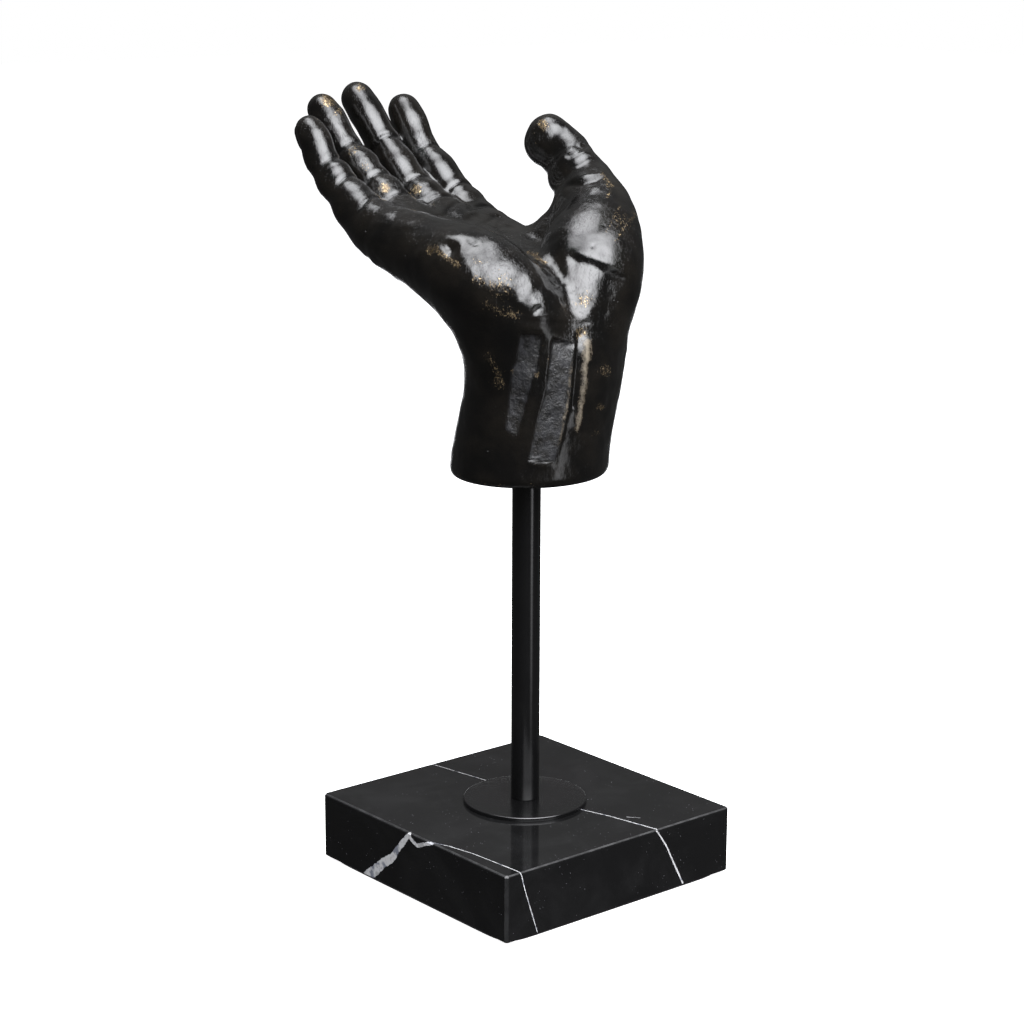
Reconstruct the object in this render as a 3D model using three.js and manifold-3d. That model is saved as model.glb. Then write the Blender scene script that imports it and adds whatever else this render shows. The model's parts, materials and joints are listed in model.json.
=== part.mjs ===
// A cast resin hand on a stand: the hand is screwed to a tie rod inside a tube, and the rod clamps the tube and a
// steel disc to a square marble slab. Millimetres, +Z up. The origin is on the surface that the part stands on,
// under the middle of the felt. The fingers point to -X, the thumb is on the +Y side.
import * as THREE from 'three';
import { mergeVertices } from 'three/addons/utils/BufferGeometryUtils.js';
import Module from 'manifold-3d';

// Felt sheet glued under the slab
const FELT_THICK = 1.5;
const FELT_INSET = 2;

// Marble slab
const SLAB_SIDE = 130;
const SLAB_THICK = 30;
const SLAB_CHAMFER = 0.8;

// Tie rod, an M8 all-thread, and the clearances round it
const ROD_DIA = 8;
const ROD_CLEARANCE = 0.5;
const THREAD_GAP = 0.3;
const ROD_SPARE = 1.5;
const ROD_ENGAGEMENT = 16;

// Fasteners in the pocket under the slab
const WASHER_DIA = 24;
const WASHER_THICK = 2;
const SPRING_DIA = 14.8;
const SPRING_THICK = 2;
const SPRING_SPLIT = 1.6;
const NUT_FLATS = 13;
const NUT_THICK = 6.5;
const SPANNER_ROOM = 4;
const POCKET_SPARE = 2;

// Disc and tube of the stand
const DISC_DIA = 55.5;
const DISC_THICK = 1.8;
const DISC_ROUND = 0.5;
const TUBE_WALL = 1.85;
const TUBE_LENGTH = 149.2;

// Threaded insert cast into the wrist, and the space above it
const INSERT_WALL = 1.7;
const INSERT_LENGTH = 20;
const CAST_GAP = 0.3;
const SOCKET_SPARE = 3;

// The hand in its own frame: the rod's axis, at the wrist's cut face.
// Wrist and palm: the middle of each section, its tilt from level in degrees, its half-width and half-thickness
const WRIST_ROUND = 4;
const PALM_SECTIONS = [
  { at: [1, 1, WRIST_ROUND], tilt: 0, wide: 35, thick: 31.5 },
  { at: [4, 3.5, 28], tilt: 0, wide: 33.3, thick: 30 },
  { at: [5, 6, 46], tilt: 0, wide: 34.8, thick: 29.5 },
  { at: [3.5, 5.5, 62], tilt: 8, wide: 38.3, thick: 27.3 },
  { at: [-12.5, 4, 76], tilt: 40, wide: 38.5, thick: 17.5 },
  { at: [-33, 3, 88], tilt: 62, wide: 38.5, thick: 11 },
  { at: [-60, -2, 96], tilt: 70, wide: 37, thick: 9.5 },
  { at: [-73, -4, 102], tilt: 60, wide: 34, thick: 7 },
];

// Round limbs: middle and half-thickness of each section
const LITTLE_SIDE_HEEL = [
  { at: [12, -13, 70], thick: 14.5 },
  { at: [-1.5, -24.8, 87], thick: 19.8 },
  { at: [-28, -29.5, 94.8], thick: 15.8 },
  { at: [-58, -33.2, 102], thick: 12.2 },
];
const BALL_AND_THUMB = [
  { at: [18.5, 19.5, 67.5], thick: 16.5 },
  { at: [8.5, 31.5, 91], thick: 20 },
  { at: [0, 42, 107], thick: 15.8 },
  { at: [-18, 48, 120], thick: 12.4 },
  { at: [-32, 49, 132], thick: 11.2 },
  { at: [-43.5, 48, 139], thick: 10.5 },
];
const THUMB_WEB = [
  { at: [-58, 28, 96], thick: 9.5 },
  { at: [-40, 34, 91], thick: 7.5 },
  { at: [-16, 39.5, 105], thick: 11 },
];

// Fingers: the knuckle, the bones' lengths, their rise above level in degrees, and the half-thickness at the
// knuckle, the two joints and the tip
const FINGERS = [
  { knuckle: [-74, -35, 111.5], bones: [17.5, 13, 14], rises: [38, 46, 55], thick: [10.6, 8.6, 7.7, 7.4] },
  { knuckle: [-73, -14, 108], bones: [20.5, 23, 20], rises: [37, 39.5, 49], thick: [10.6, 9.4, 8.4, 8.1] },
  { knuckle: [-72, 8, 106], bones: [23, 23, 24], rises: [34.5, 46, 49.5], thick: [11.2, 9.5, 8.7, 8.8] },
  { knuckle: [-70, 27, 102], bones: [23, 23.5, 18], rises: [41, 42.5, 59], thick: [11.2, 9.5, 8.5, 8.7] },
];
const FINGER_SPLAY = -5;
const KNUCKLE_DEPTH = 12;

// Facets: sides of the round pieces, of the palm and of the limbs, and rings between two sections
const ROUND_SIDES = 32;
const PALM_SIDES = 28;
const LIMB_SIDES = 14;
const PALM_RINGS = 2;
const LIMB_RINGS = 2;
const CAP_RINGS = 3;

// Sizes that follow from the ones above
const ROD_HOLE_DIA = ROD_DIA + 2 * ROD_CLEARANCE;
const THREAD_BORE_DIA = ROD_DIA + 2 * THREAD_GAP;
const TUBE_DIA = ROD_HOLE_DIA + 2 * TUBE_WALL;
const INSERT_DIA = THREAD_BORE_DIA + 2 * INSERT_WALL;
const POCKET_DIA = WASHER_DIA + 2 * SPANNER_ROOM;
const FASTENER_STACK = WASHER_THICK + SPRING_THICK + NUT_THICK;
const POCKET_DEPTH = FASTENER_STACK + ROD_SPARE + POCKET_SPARE;
const SOCKET_DEPTH = Math.max(INSERT_LENGTH, ROD_ENGAGEMENT) + SOCKET_SPARE;

// Heights of the stack, from the surface that the felt lies on
const SLAB_Z = FELT_THICK;
const DISC_Z = SLAB_Z + SLAB_THICK;
const TUBE_Z = DISC_Z + DISC_THICK;
const HAND_Z = TUBE_Z + TUBE_LENGTH;
const POCKET_ROOF_Z = SLAB_Z + POCKET_DEPTH;
const WASHER_Z = POCKET_ROOF_Z - WASHER_THICK;
const SPRING_Z = WASHER_Z - SPRING_THICK;
const NUT_Z = SPRING_Z - NUT_THICK;
const ROD_Z = NUT_Z - ROD_SPARE;

const MATERIALS = {
  resin: { color: 0x14120f, roughness: 0.28, metalness: 0.15 },
  marble: { color: 0x1a1a1b, roughness: 0.12, metalness: 0 },
  blackSteel: { color: 0x151515, roughness: 0.45, metalness: 0.6 },
  zincSteel: { color: 0xb9bcc0, roughness: 0.35, metalness: 1 },
  brass: { color: 0xb08d4a, roughness: 0.35, metalness: 1 },
  felt: { color: 0x17181a, roughness: 1, metalness: 0 },
};

const wasm = await Module();
wasm.setup();

// Turns a closed geometry into a solid for cutting and joining
function solidOf(geometry) {
  const bare = geometry.clone();
  bare.deleteAttribute('normal');
  bare.deleteAttribute('uv');
  const merged = mergeVertices(bare, 1e-4);
  return new wasm.Manifold(new wasm.Mesh({
    numProp: 3,
    vertProperties: new Float32Array(merged.attributes.position.array),
    triVerts: new Uint32Array(merged.index.array),
  }));
}

function geometryOf(solid) {
  const mesh = solid.getMesh();
  const geometry = new THREE.BufferGeometry();
  geometry.setAttribute('position', new THREE.BufferAttribute(mesh.vertProperties, 3));
  geometry.setIndex(new THREE.BufferAttribute(mesh.triVerts, 1));
  geometry.computeVertexNormals();
  return geometry;
}

function piece(name, geometry, material, z) {
  const mesh = new THREE.Mesh(geometry, new THREE.MeshStandardMaterial(MATERIALS[material]));
  mesh.name = name;
  mesh.position.z = z;
  return mesh;
}

// Turns a profile of [radius, height] points about the Z axis
function turned(profile) {
  const points = profile.map(([radius, height]) => new THREE.Vector2(radius, height));
  return new THREE.LatheGeometry(points, ROUND_SIDES).rotateX(Math.PI / 2);
}

// A bar that starts at the given height
function bar(dia, length, z = 0) {
  return turned([[0, z], [dia / 2, z], [dia / 2, z + length], [0, z + length]]);
}

// A ring of rectangular section that stands on z = 0
function ring(outerDia, innerDia, height) {
  const [outer, inner] = [outerDia / 2, innerDia / 2];
  return turned([[inner, 0], [outer, 0], [outer, height], [inner, height], [inner, 0]]);
}

function square(side, cut) {
  const half = side / 2;
  const shape = new THREE.Shape();
  shape.moveTo(half - cut, -half);
  for (const [x, y] of [[1, -1], [1, 1], [-1, 1], [-1, -1]]) {
    const alongFirst = x === y;
    shape.lineTo(x * (alongFirst ? half : half - cut), y * (alongFirst ? half - cut : half));
    shape.lineTo(x * (alongFirst ? half - cut : half), y * (alongFirst ? half : half - cut));
  }
  return shape;
}

function felt() {
  return new THREE.ExtrudeGeometry(square(SLAB_SIDE - 2 * FELT_INSET, FELT_INSET), {
    depth: FELT_THICK,
    bevelEnabled: false,
  });
}

// The slab: chamfered edges, a hole for the tie rod, and below it a pocket for the nut
function slab() {
  const block = new THREE.ExtrudeGeometry(square(SLAB_SIDE - 2 * SLAB_CHAMFER, SLAB_CHAMFER), {
    depth: SLAB_THICK - 2 * SLAB_CHAMFER,
    bevelThickness: SLAB_CHAMFER,
    bevelSize: SLAB_CHAMFER,
    bevelSegments: 1,
  }).translate(0, 0, SLAB_CHAMFER);
  const hole = bar(ROD_HOLE_DIA, SLAB_THICK + POCKET_SPARE, POCKET_DEPTH / 2);
  const pocket = bar(POCKET_DIA, POCKET_DEPTH + POCKET_SPARE, -POCKET_SPARE);
  return geometryOf(solidOf(block).subtract(solidOf(hole)).subtract(solidOf(pocket)));
}

// The disc: a bored plate with a quarter-round upper edge
function disc() {
  const [outer, inner] = [DISC_DIA / 2, ROD_HOLE_DIA / 2];
  const round = [0, 30, 60, 90].map((degrees) => {
    const angle = THREE.MathUtils.degToRad(degrees);
    return [outer - DISC_ROUND * (1 - Math.cos(angle)), DISC_THICK - DISC_ROUND * (1 - Math.sin(angle))];
  });
  return turned([[inner, 0], [outer, 0], ...round, [inner, DISC_THICK], [inner, 0]]);
}

// The spring washer: a ring with a split
function springWasher() {
  const coil = ring(SPRING_DIA, THREAD_BORE_DIA, SPRING_THICK);
  const split = new THREE.BoxGeometry(SPRING_DIA, SPRING_SPLIT, 2 * SPRING_THICK).translate(SPRING_DIA / 2, 0, 0);
  return geometryOf(solidOf(coil).subtract(solidOf(split.translate(0, 0, SPRING_THICK / 2))));
}

// The nut: a hexagon of the given width across flats, bored
function nut() {
  const corner = NUT_FLATS / 2 / Math.cos(Math.PI / 6);
  const block = new THREE.CylinderGeometry(corner, corner, NUT_THICK, 6).rotateX(Math.PI / 2);
  const bore = bar(THREAD_BORE_DIA, 2 * NUT_THICK, -NUT_THICK / 2);
  return geometryOf(solidOf(block.translate(0, 0, NUT_THICK / 2)).subtract(solidOf(bore)));
}

// Skin over rings of points that run anticlockwise about the way the limb grows, closed by a fan at each end
function skin(rings, first, last) {
  const sides = rings[0].length;
  const points = [...rings.flat(), first, last];
  const [start, end] = [points.length - 2, points.length - 1];
  const index = [];
  for (let side = 0; side < sides; side += 1) {
    const next = (side + 1) % sides;
    for (let level = 0; level < rings.length - 1; level += 1) {
      const [low, high] = [level * sides, (level + 1) * sides];
      index.push(low + side, low + next, high + next, low + side, high + next, high + side);
    }
    const top = (rings.length - 1) * sides;
    index.push(start, next, side, end, top + side, top + next);
  }
  const geometry = new THREE.BufferGeometry();
  geometry.setAttribute('position', new THREE.Float32BufferAttribute(points.flatMap((p) => p.toArray()), 3));
  geometry.setIndex(index);
  return geometry;
}

// An ellipse about a middle point, in the plane of two directions
function ellipse(middle, across, up, wide, thick, sides) {
  return Array.from({ length: sides }, (_, side) => {
    const angle = (2 * Math.PI * side) / sides;
    return middle.clone()
      .addScaledVector(across, wide * Math.cos(angle))
      .addScaledVector(up, thick * Math.sin(angle));
  });
}

// A smooth value between sections: each column of numbers is run through by its own curve
function smoothly(rows, perSpan) {
  const steps = (rows.length - 1) * (perSpan + 1);
  const columns = rows[0].map((_, column) => new THREE.CatmullRomCurve3(
    rows.map((row, place) => new THREE.Vector3(place, row[column], 0)),
  ));
  return Array.from({ length: steps + 1 }, (_, step) => columns.map((curve) => curve.getPoint(step / steps).y));
}

// Wrist and palm: tilted ellipses, with a rounded edge round the cut face
function palm() {
  const across = new THREE.Vector3(0, 1, 0);
  const rows = PALM_SECTIONS.map(({ at, tilt, wide, thick }) => [...at, tilt, wide, thick]);
  const edge = [0, 30, 60].map((degrees) => {
    const angle = THREE.MathUtils.degToRad(degrees);
    const inset = WRIST_ROUND * (1 - Math.sin(angle));
    const [x, y, , tilt, wide, thick] = rows[0];
    return [x, y, WRIST_ROUND * (1 - Math.cos(angle)), tilt, wide - inset, thick - inset];
  });
  const rings = [...edge, ...smoothly(rows, PALM_RINGS)].map(([x, y, z, tilt, wide, thick]) => {
    const angle = THREE.MathUtils.degToRad(tilt);
    const up = new THREE.Vector3(-Math.cos(angle), 0, -Math.sin(angle));
    return ellipse(new THREE.Vector3(x, y, z), across, up, wide, thick, PALM_SIDES);
  });
  const [x, y] = rows[0];
  return skin(rings, new THREE.Vector3(x, y, 0), new THREE.Vector3(...rows.at(-1)));
}

// A round limb: circles along a curve through the sections, with domed ends
function limb(sections) {
  const rows = smoothly(sections.map(({ at, thick }) => [...at, thick]), LIMB_RINGS);
  const middles = rows.map(([x, y, z]) => new THREE.Vector3(x, y, z));
  const tangents = middles.map((middle, place) => {
    const [before, after] = [middles[Math.max(place - 1, 0)], middles[Math.min(place + 1, middles.length - 1)]];
    return after.clone().sub(before).normalize();
  });
  const circle = (middle, tangent, thick) => {
    const across = new THREE.Vector3(0, 1, 0).projectOnPlane(tangent).normalize();
    const up = tangent.clone().cross(across);
    return ellipse(middle, across, up, thick, thick, LIMB_SIDES);
  };
  const dome = (place, way) => Array.from({ length: CAP_RINGS }, (_, step) => {
    const angle = ((step + 1) / (CAP_RINGS + 1)) * (Math.PI / 2);
    const thick = rows[place][3];
    const middle = middles[place].clone().addScaledVector(tangents[place], way * thick * Math.sin(angle));
    return circle(middle, tangents[place], thick * Math.cos(angle));
  });
  const last = rows.length - 1;
  const pole = (place, way) => middles[place].clone().addScaledVector(tangents[place], way * rows[place][3]);
  const body = rows.map((row, place) => circle(middles[place], tangents[place], row[3]));
  return skin([...dome(0, -1).reverse(), ...body, ...dome(last, 1)], pole(0, -1), pole(last, 1));
}

// A finger's sections, from inside the palm to the tip
function fingerSections({ knuckle, bones, rises, thick }) {
  const splay = THREE.MathUtils.degToRad(FINGER_SPLAY);
  const way = (rise) => {
    const angle = THREE.MathUtils.degToRad(rise);
    const level = Math.cos(angle);
    return new THREE.Vector3(-level * Math.cos(splay), level * Math.sin(splay), Math.sin(angle));
  };
  const joint = new THREE.Vector3(...knuckle);
  const root = joint.clone().addScaledVector(way(rises[0] / 2), -KNUCKLE_DEPTH);
  const sections = [{ at: root.toArray(), thick: thick[0] }, { at: joint.toArray(), thick: thick[0] }];
  bones.forEach((length, bone) => {
    joint.addScaledVector(way(rises[bone]), length);
    sections.push({ at: joint.toArray(), thick: thick[bone + 1] });
  });
  return sections;
}

// The hand: palm, heel, ball and thumb, web and fingers joined, with a socket for the insert
function hand() {
  const limbs = [LITTLE_SIDE_HEEL, BALL_AND_THUMB, THUMB_WEB, ...FINGERS.map(fingerSections)];
  const body = limbs.reduce((joined, sections) => joined.add(solidOf(limb(sections))), solidOf(palm()));
  const socket = bar(INSERT_DIA + 2 * CAST_GAP, SOCKET_DEPTH + SOCKET_SPARE, -SOCKET_SPARE);
  return geometryOf(body.subtract(solidOf(socket)));
}

const statue = new THREE.Group();
statue.add(
  piece('felt_pad', felt(), 'felt', 0),
  piece('marble_base', slab(), 'marble', SLAB_Z),
  piece('base_disc', disc(), 'blackSteel', DISC_Z),
  piece('support_tube', ring(TUBE_DIA, ROD_HOLE_DIA, TUBE_LENGTH), 'blackSteel', TUBE_Z),
  piece('tie_rod', bar(ROD_DIA, HAND_Z + ROD_ENGAGEMENT - ROD_Z), 'zincSteel', ROD_Z),
  piece('flat_washer', ring(WASHER_DIA, THREAD_BORE_DIA, WASHER_THICK), 'zincSteel', WASHER_Z),
  piece('spring_washer', springWasher(), 'zincSteel', SPRING_Z),
  piece('clamp_nut', nut(), 'zincSteel', NUT_Z),
  piece('wrist_insert', ring(INSERT_DIA, THREAD_BORE_DIA, INSERT_LENGTH), 'brass', HAND_Z),
  piece('hand', hand(), 'resin', HAND_Z),
);

export default statue;
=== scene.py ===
"""Dresses a cast hand on its marble stand: hand, black tube and disc, veined slab, felt and fasteners.

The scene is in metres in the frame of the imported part. The hand's own shape is worked out in millimetres,
from the rod's axis at the wrist's cut face: fingers to -X, thumb on the +Y side, palm up.
"""
import json
import logging
import math
from dataclasses import dataclass, field
from enum import Enum
from typing import Any, Union

import bpy
import numpy as np
from mathutils import Matrix, Vector


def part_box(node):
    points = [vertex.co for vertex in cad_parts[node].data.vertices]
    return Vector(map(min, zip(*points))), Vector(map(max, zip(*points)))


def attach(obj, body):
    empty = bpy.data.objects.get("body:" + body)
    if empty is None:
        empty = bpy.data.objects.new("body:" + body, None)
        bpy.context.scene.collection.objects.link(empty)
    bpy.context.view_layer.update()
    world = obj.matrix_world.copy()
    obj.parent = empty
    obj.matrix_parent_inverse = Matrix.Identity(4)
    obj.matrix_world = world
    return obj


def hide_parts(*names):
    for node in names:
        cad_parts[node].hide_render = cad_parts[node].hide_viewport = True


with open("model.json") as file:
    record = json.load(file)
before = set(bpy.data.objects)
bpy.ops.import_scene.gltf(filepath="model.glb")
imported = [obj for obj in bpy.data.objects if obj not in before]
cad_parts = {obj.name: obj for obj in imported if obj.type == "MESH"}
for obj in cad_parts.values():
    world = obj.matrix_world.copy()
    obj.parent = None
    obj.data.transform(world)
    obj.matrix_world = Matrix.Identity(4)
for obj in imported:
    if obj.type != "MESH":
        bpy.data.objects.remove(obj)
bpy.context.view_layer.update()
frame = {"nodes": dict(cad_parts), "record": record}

MM = 0.001
TINY = 1e-6
SEED = 20

Array = np.ndarray
Rows = tuple[tuple[float, ...], ...]
Pairs = tuple[tuple[float, float], ...]
Pixels = Pairs
Triple = tuple[float, float, float]

log = logging.getLogger("hand_statue")


class Body(Enum):
    """The two bodies of the part."""

    STAND = "stand"
    HAND = "hand"


class Slot(Enum):
    """Material slots of the record."""

    RESIN = "resin"
    MARBLE = "marble"
    BLACK_STEEL = "black_steel"
    ZINC_STEEL = "zinc_steel"
    BRASS = "brass"
    FELT = "felt"


# Plain vector and field arithmetic


def unit(vector: Any) -> Array:
    """A vector at length one."""
    vector = np.asarray(vector, float)
    return vector / np.linalg.norm(vector)


def ramp(x: Array, start: float, end: float) -> Array:
    """Smooth step from 0 at start to 1 at end."""
    t = np.clip((x - start) / (end - start), 0.0, 1.0)
    return t * t * (3.0 - 2.0 * t)


def bell(x: Array, half_width: float) -> Array:
    """Bell curve: 1 in the middle, and 1/e at the half-width."""
    return np.exp(-((x / half_width) ** 2))


def smooth_min(a: Array, b: Array, reach: float) -> Array:
    """Lesser of two distances, rounded where they differ by less than the reach."""
    mix = np.maximum(reach - np.abs(a - b), 0.0) / reach
    return np.minimum(a, b) - mix * mix * reach / 4.0


def smooth_max(a: Array, b: Array, reach: float) -> Array:
    """Greater of two distances, rounded the same way."""
    return -smooth_min(-a, -b, reach)


def through(rows: Rows, steps: int) -> Array:
    """Runs a Catmull-Rom curve through rows of numbers.

    Args:
        rows: the rows that the curve passes through.
        steps: points on the curve from one row to the next.

    Returns:
        The points of the curve, one a row.
    """
    given = np.asarray(rows, float)
    padded = np.vstack([2 * given[0] - given[1], given, 2 * given[-1] - given[-2]])
    a, b, c, d = (padded[i:len(given) - 1 + i, None, :] for i in range(4))
    t = (np.arange(steps) / steps)[None, :, None]
    curve = b + 0.5 * t * (c - a + t * (2 * a - 5 * b + 4 * c - d + t * (3 * (b - c) + d - a)))
    return np.vstack([curve.reshape(-1, given.shape[1]), given[-1:]])


def ellipsoid(points: Array, centre: Array, axes: Array, half: Triple) -> Array:
    """Distance to an ellipsoid, as the scaled radius times how far it is from one, over its slope.

    Args:
        points: points to measure.
        centre: middle of the ellipsoid.
        axes: its three directions, one a row.
        half: its half-lengths along them.

    Returns:
        The distance at each point, negative inside.
    """
    local = (points - centre) @ np.asarray(axes).T / np.asarray(half)
    radius = np.linalg.norm(local, axis=1)
    slope = np.linalg.norm(local / np.asarray(half), axis=1)
    return radius * (radius - 1.0) / np.maximum(slope, TINY)


def value_noise(points: Array, length: float, seed: int) -> Array:
    """Seeded noise from -1 to 1: random values at the knots of a repeating grid, joined by smooth steps.

    Args:
        points: points to read it at.
        length: distance between knots.
        seed: which noise.

    Returns:
        The noise at each point.
    """
    size = 32
    knots = np.random.default_rng(SEED + seed).uniform(-1.0, 1.0, (size, size, size))
    scaled = points / length
    cell = np.floor(scaled).astype(int)
    t = scaled - cell
    t = t * t * (3.0 - 2.0 * t)
    total = np.zeros(len(points))
    for corner in np.ndindex(2, 2, 2):
        weight = np.prod(np.where(corner, t, 1.0 - t), axis=1)
        at = (cell + corner) % size
        total += weight * knots[at[:, 0], at[:, 1], at[:, 2]]
    return total


def along_line(spots: Array, line: Any) -> tuple[Array, Array]:
    """Measures flat spots against a broken line, as the least distance to any of its legs.

    Args:
        spots: the spots, one a row.
        line: the line's corners in order.

    Returns:
        Each spot's distance, and how far along the line its nearest place is, from 0 to 1.
    """
    corners = np.asarray(line, float)
    best = np.full(len(spots), np.inf)
    share = np.zeros(len(spots))
    for leg, (a, b) in enumerate(zip(corners[:-1], corners[1:])):
        t = np.clip((spots - a) @ (b - a) / ((b - a) @ (b - a)), 0.0, 1.0)
        gap = np.linalg.norm(spots - a - t[:, None] * (b - a), axis=1)
        nearer = gap < best
        best = np.where(nearer, gap, best)
        share = np.where(nearer, (leg + t) / (len(corners) - 1), share)
    return best, share


def outline_distance(spots: Array, outline: Pixels) -> Array:
    """Distance to a closed outline: inside is where a level ray crosses it an odd number of times.

    Args:
        spots: flat spots, one a row.
        outline: the outline's corners in order.

    Returns:
        Each spot's distance, negative inside.
    """
    corners = np.asarray(outline, float)
    gap, _ = along_line(spots, (*outline, outline[0]))
    inside = np.zeros(len(spots), bool)
    for (ax, ay), (bx, by) in zip(corners, np.roll(corners, -1, axis=0)):
        level = (ay > spots[:, 1]) != (by > spots[:, 1])
        cross = ax + (spots[:, 1] - ay) * (bx - ax) / (by - ay if by != ay else 1.0)
        inside ^= level & (spots[:, 0] < cross)
    return np.where(inside, -gap, gap)


# Camera of the photograph


@dataclass(frozen=True)
class PhotoCamera:
    """The photograph's camera, worked out from the corners of the slab.

    Angles are in degrees and lengths in metres, the sensor in millimetres.
    """

    azimuth: float = 50.032
    elevation: float = 13.574
    roll: float = 0.203
    distance: float = 1.0583
    aim_side: float = -0.0063
    aim_height: float = 0.1649
    focal_pixels: float = 2418.9
    frame_pixels: float = 1024.0
    sensor: float = 36.0

    def axes(self) -> tuple[Array, Array, Array]:
        """Works out the camera's directions from its azimuth, elevation and roll.

        Returns:
            Unit vectors to the right, up and back.
        """
        a, e, r = (math.radians(x) for x in (self.azimuth, self.elevation, self.roll))
        back = np.array([math.sin(a) * math.cos(e), -math.cos(a) * math.cos(e), math.sin(e)])
        right = np.array([math.cos(a), math.sin(a), 0.0])
        up = np.cross(back, right)
        return right * math.cos(r) + up * math.sin(r), up * math.cos(r) - right * math.sin(r), back

    def eye(self) -> Array:
        """Works out where the camera stands: its distance back from the place that it aims at.

        Returns:
            The place, in metres.
        """
        a = math.radians(self.azimuth)
        aim = np.array([math.cos(a) * self.aim_side, math.sin(a) * self.aim_side, self.aim_height])
        return aim + self.axes()[2] * self.distance

    def pixels(self, points: Array) -> tuple[Array, Array]:
        """Projects points through the camera.

        Args:
            points: points in metres, one a row.

        Returns:
            Their pixels, and how many pixels a millimetre takes at each.
        """
        right, up, back = self.axes()
        ray = points - self.eye()
        scale = self.focal_pixels / -(ray @ back)
        middle = self.frame_pixels / 2
        return np.stack([middle + scale * (ray @ right), middle - scale * (ray @ up)], axis=1), scale * MM

    def build(self) -> None:
        """Makes the scene's camera."""
        data = bpy.data.cameras.new("photo_camera")
        data.sensor_width = self.sensor
        data.lens = self.sensor * self.focal_pixels / self.frame_pixels
        camera = bpy.data.objects.new("photo_camera", data)
        turn = Matrix(np.stack(self.axes(), axis=1).tolist()).to_4x4()
        camera.matrix_world = Matrix.Translation(Vector(self.eye())) @ turn
        bpy.context.scene.collection.objects.link(camera)
        bpy.context.scene.camera = camera


# Shader expressions

Number = Union[float, "Value"]


class Value:
    """A shader socket that takes part in Python arithmetic; each operation adds a Math node."""

    def __init__(self, graph: "Graph", socket: bpy.types.NodeSocket) -> None:
        """Wraps a socket of a graph."""
        self.graph, self.socket = graph, socket

    def _math(self, operation: str, *values: Number) -> "Value":
        """One Math node on this graph."""
        return self.graph.node("ShaderNodeMath", {"operation": operation}, dict(enumerate(values)))

    def __add__(self, other: Number) -> "Value":
        """Sum."""
        return self._math("ADD", self, other)

    def __radd__(self, other: Number) -> "Value":
        """Sum, from the right."""
        return self._math("ADD", other, self)

    def __sub__(self, other: Number) -> "Value":
        """Difference."""
        return self._math("SUBTRACT", self, other)

    def __rsub__(self, other: Number) -> "Value":
        """Difference, from the right."""
        return self._math("SUBTRACT", other, self)

    def __mul__(self, other: Number) -> "Value":
        """Product."""
        return self._math("MULTIPLY", self, other)

    def __rmul__(self, other: Number) -> "Value":
        """Product, from the right."""
        return self._math("MULTIPLY", other, self)

    def least(self, other: Number) -> "Value":
        """Lesser of two."""
        return self._math("MINIMUM", self, other)

    def most(self, other: Number) -> "Value":
        """Greater of two."""
        return self._math("MAXIMUM", self, other)

    def size(self) -> "Value":
        """Absolute value."""
        return self._math("ABSOLUTE", self)

    def __pow__(self, power: float) -> "Value":
        """Power."""
        return self._math("POWER", self, power)

    def step(self, start: float, end: float) -> "Value":
        """Smooth step on this value.

        Args:
            start: where it is 0.
            end: where it is 1, which may be the lower.

        Returns:
            The step, from 0 to 1.
        """
        settings = {"interpolation_type": "SMOOTHSTEP"}
        low, high = min(start, end), max(start, end)
        values = {"Value": self, "From Min": low, "From Max": high, "To Min": 0.0, "To Max": 1.0}
        rise = self.graph.node("ShaderNodeMapRange", settings, values)
        return rise if start < end else 1.0 - rise


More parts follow.
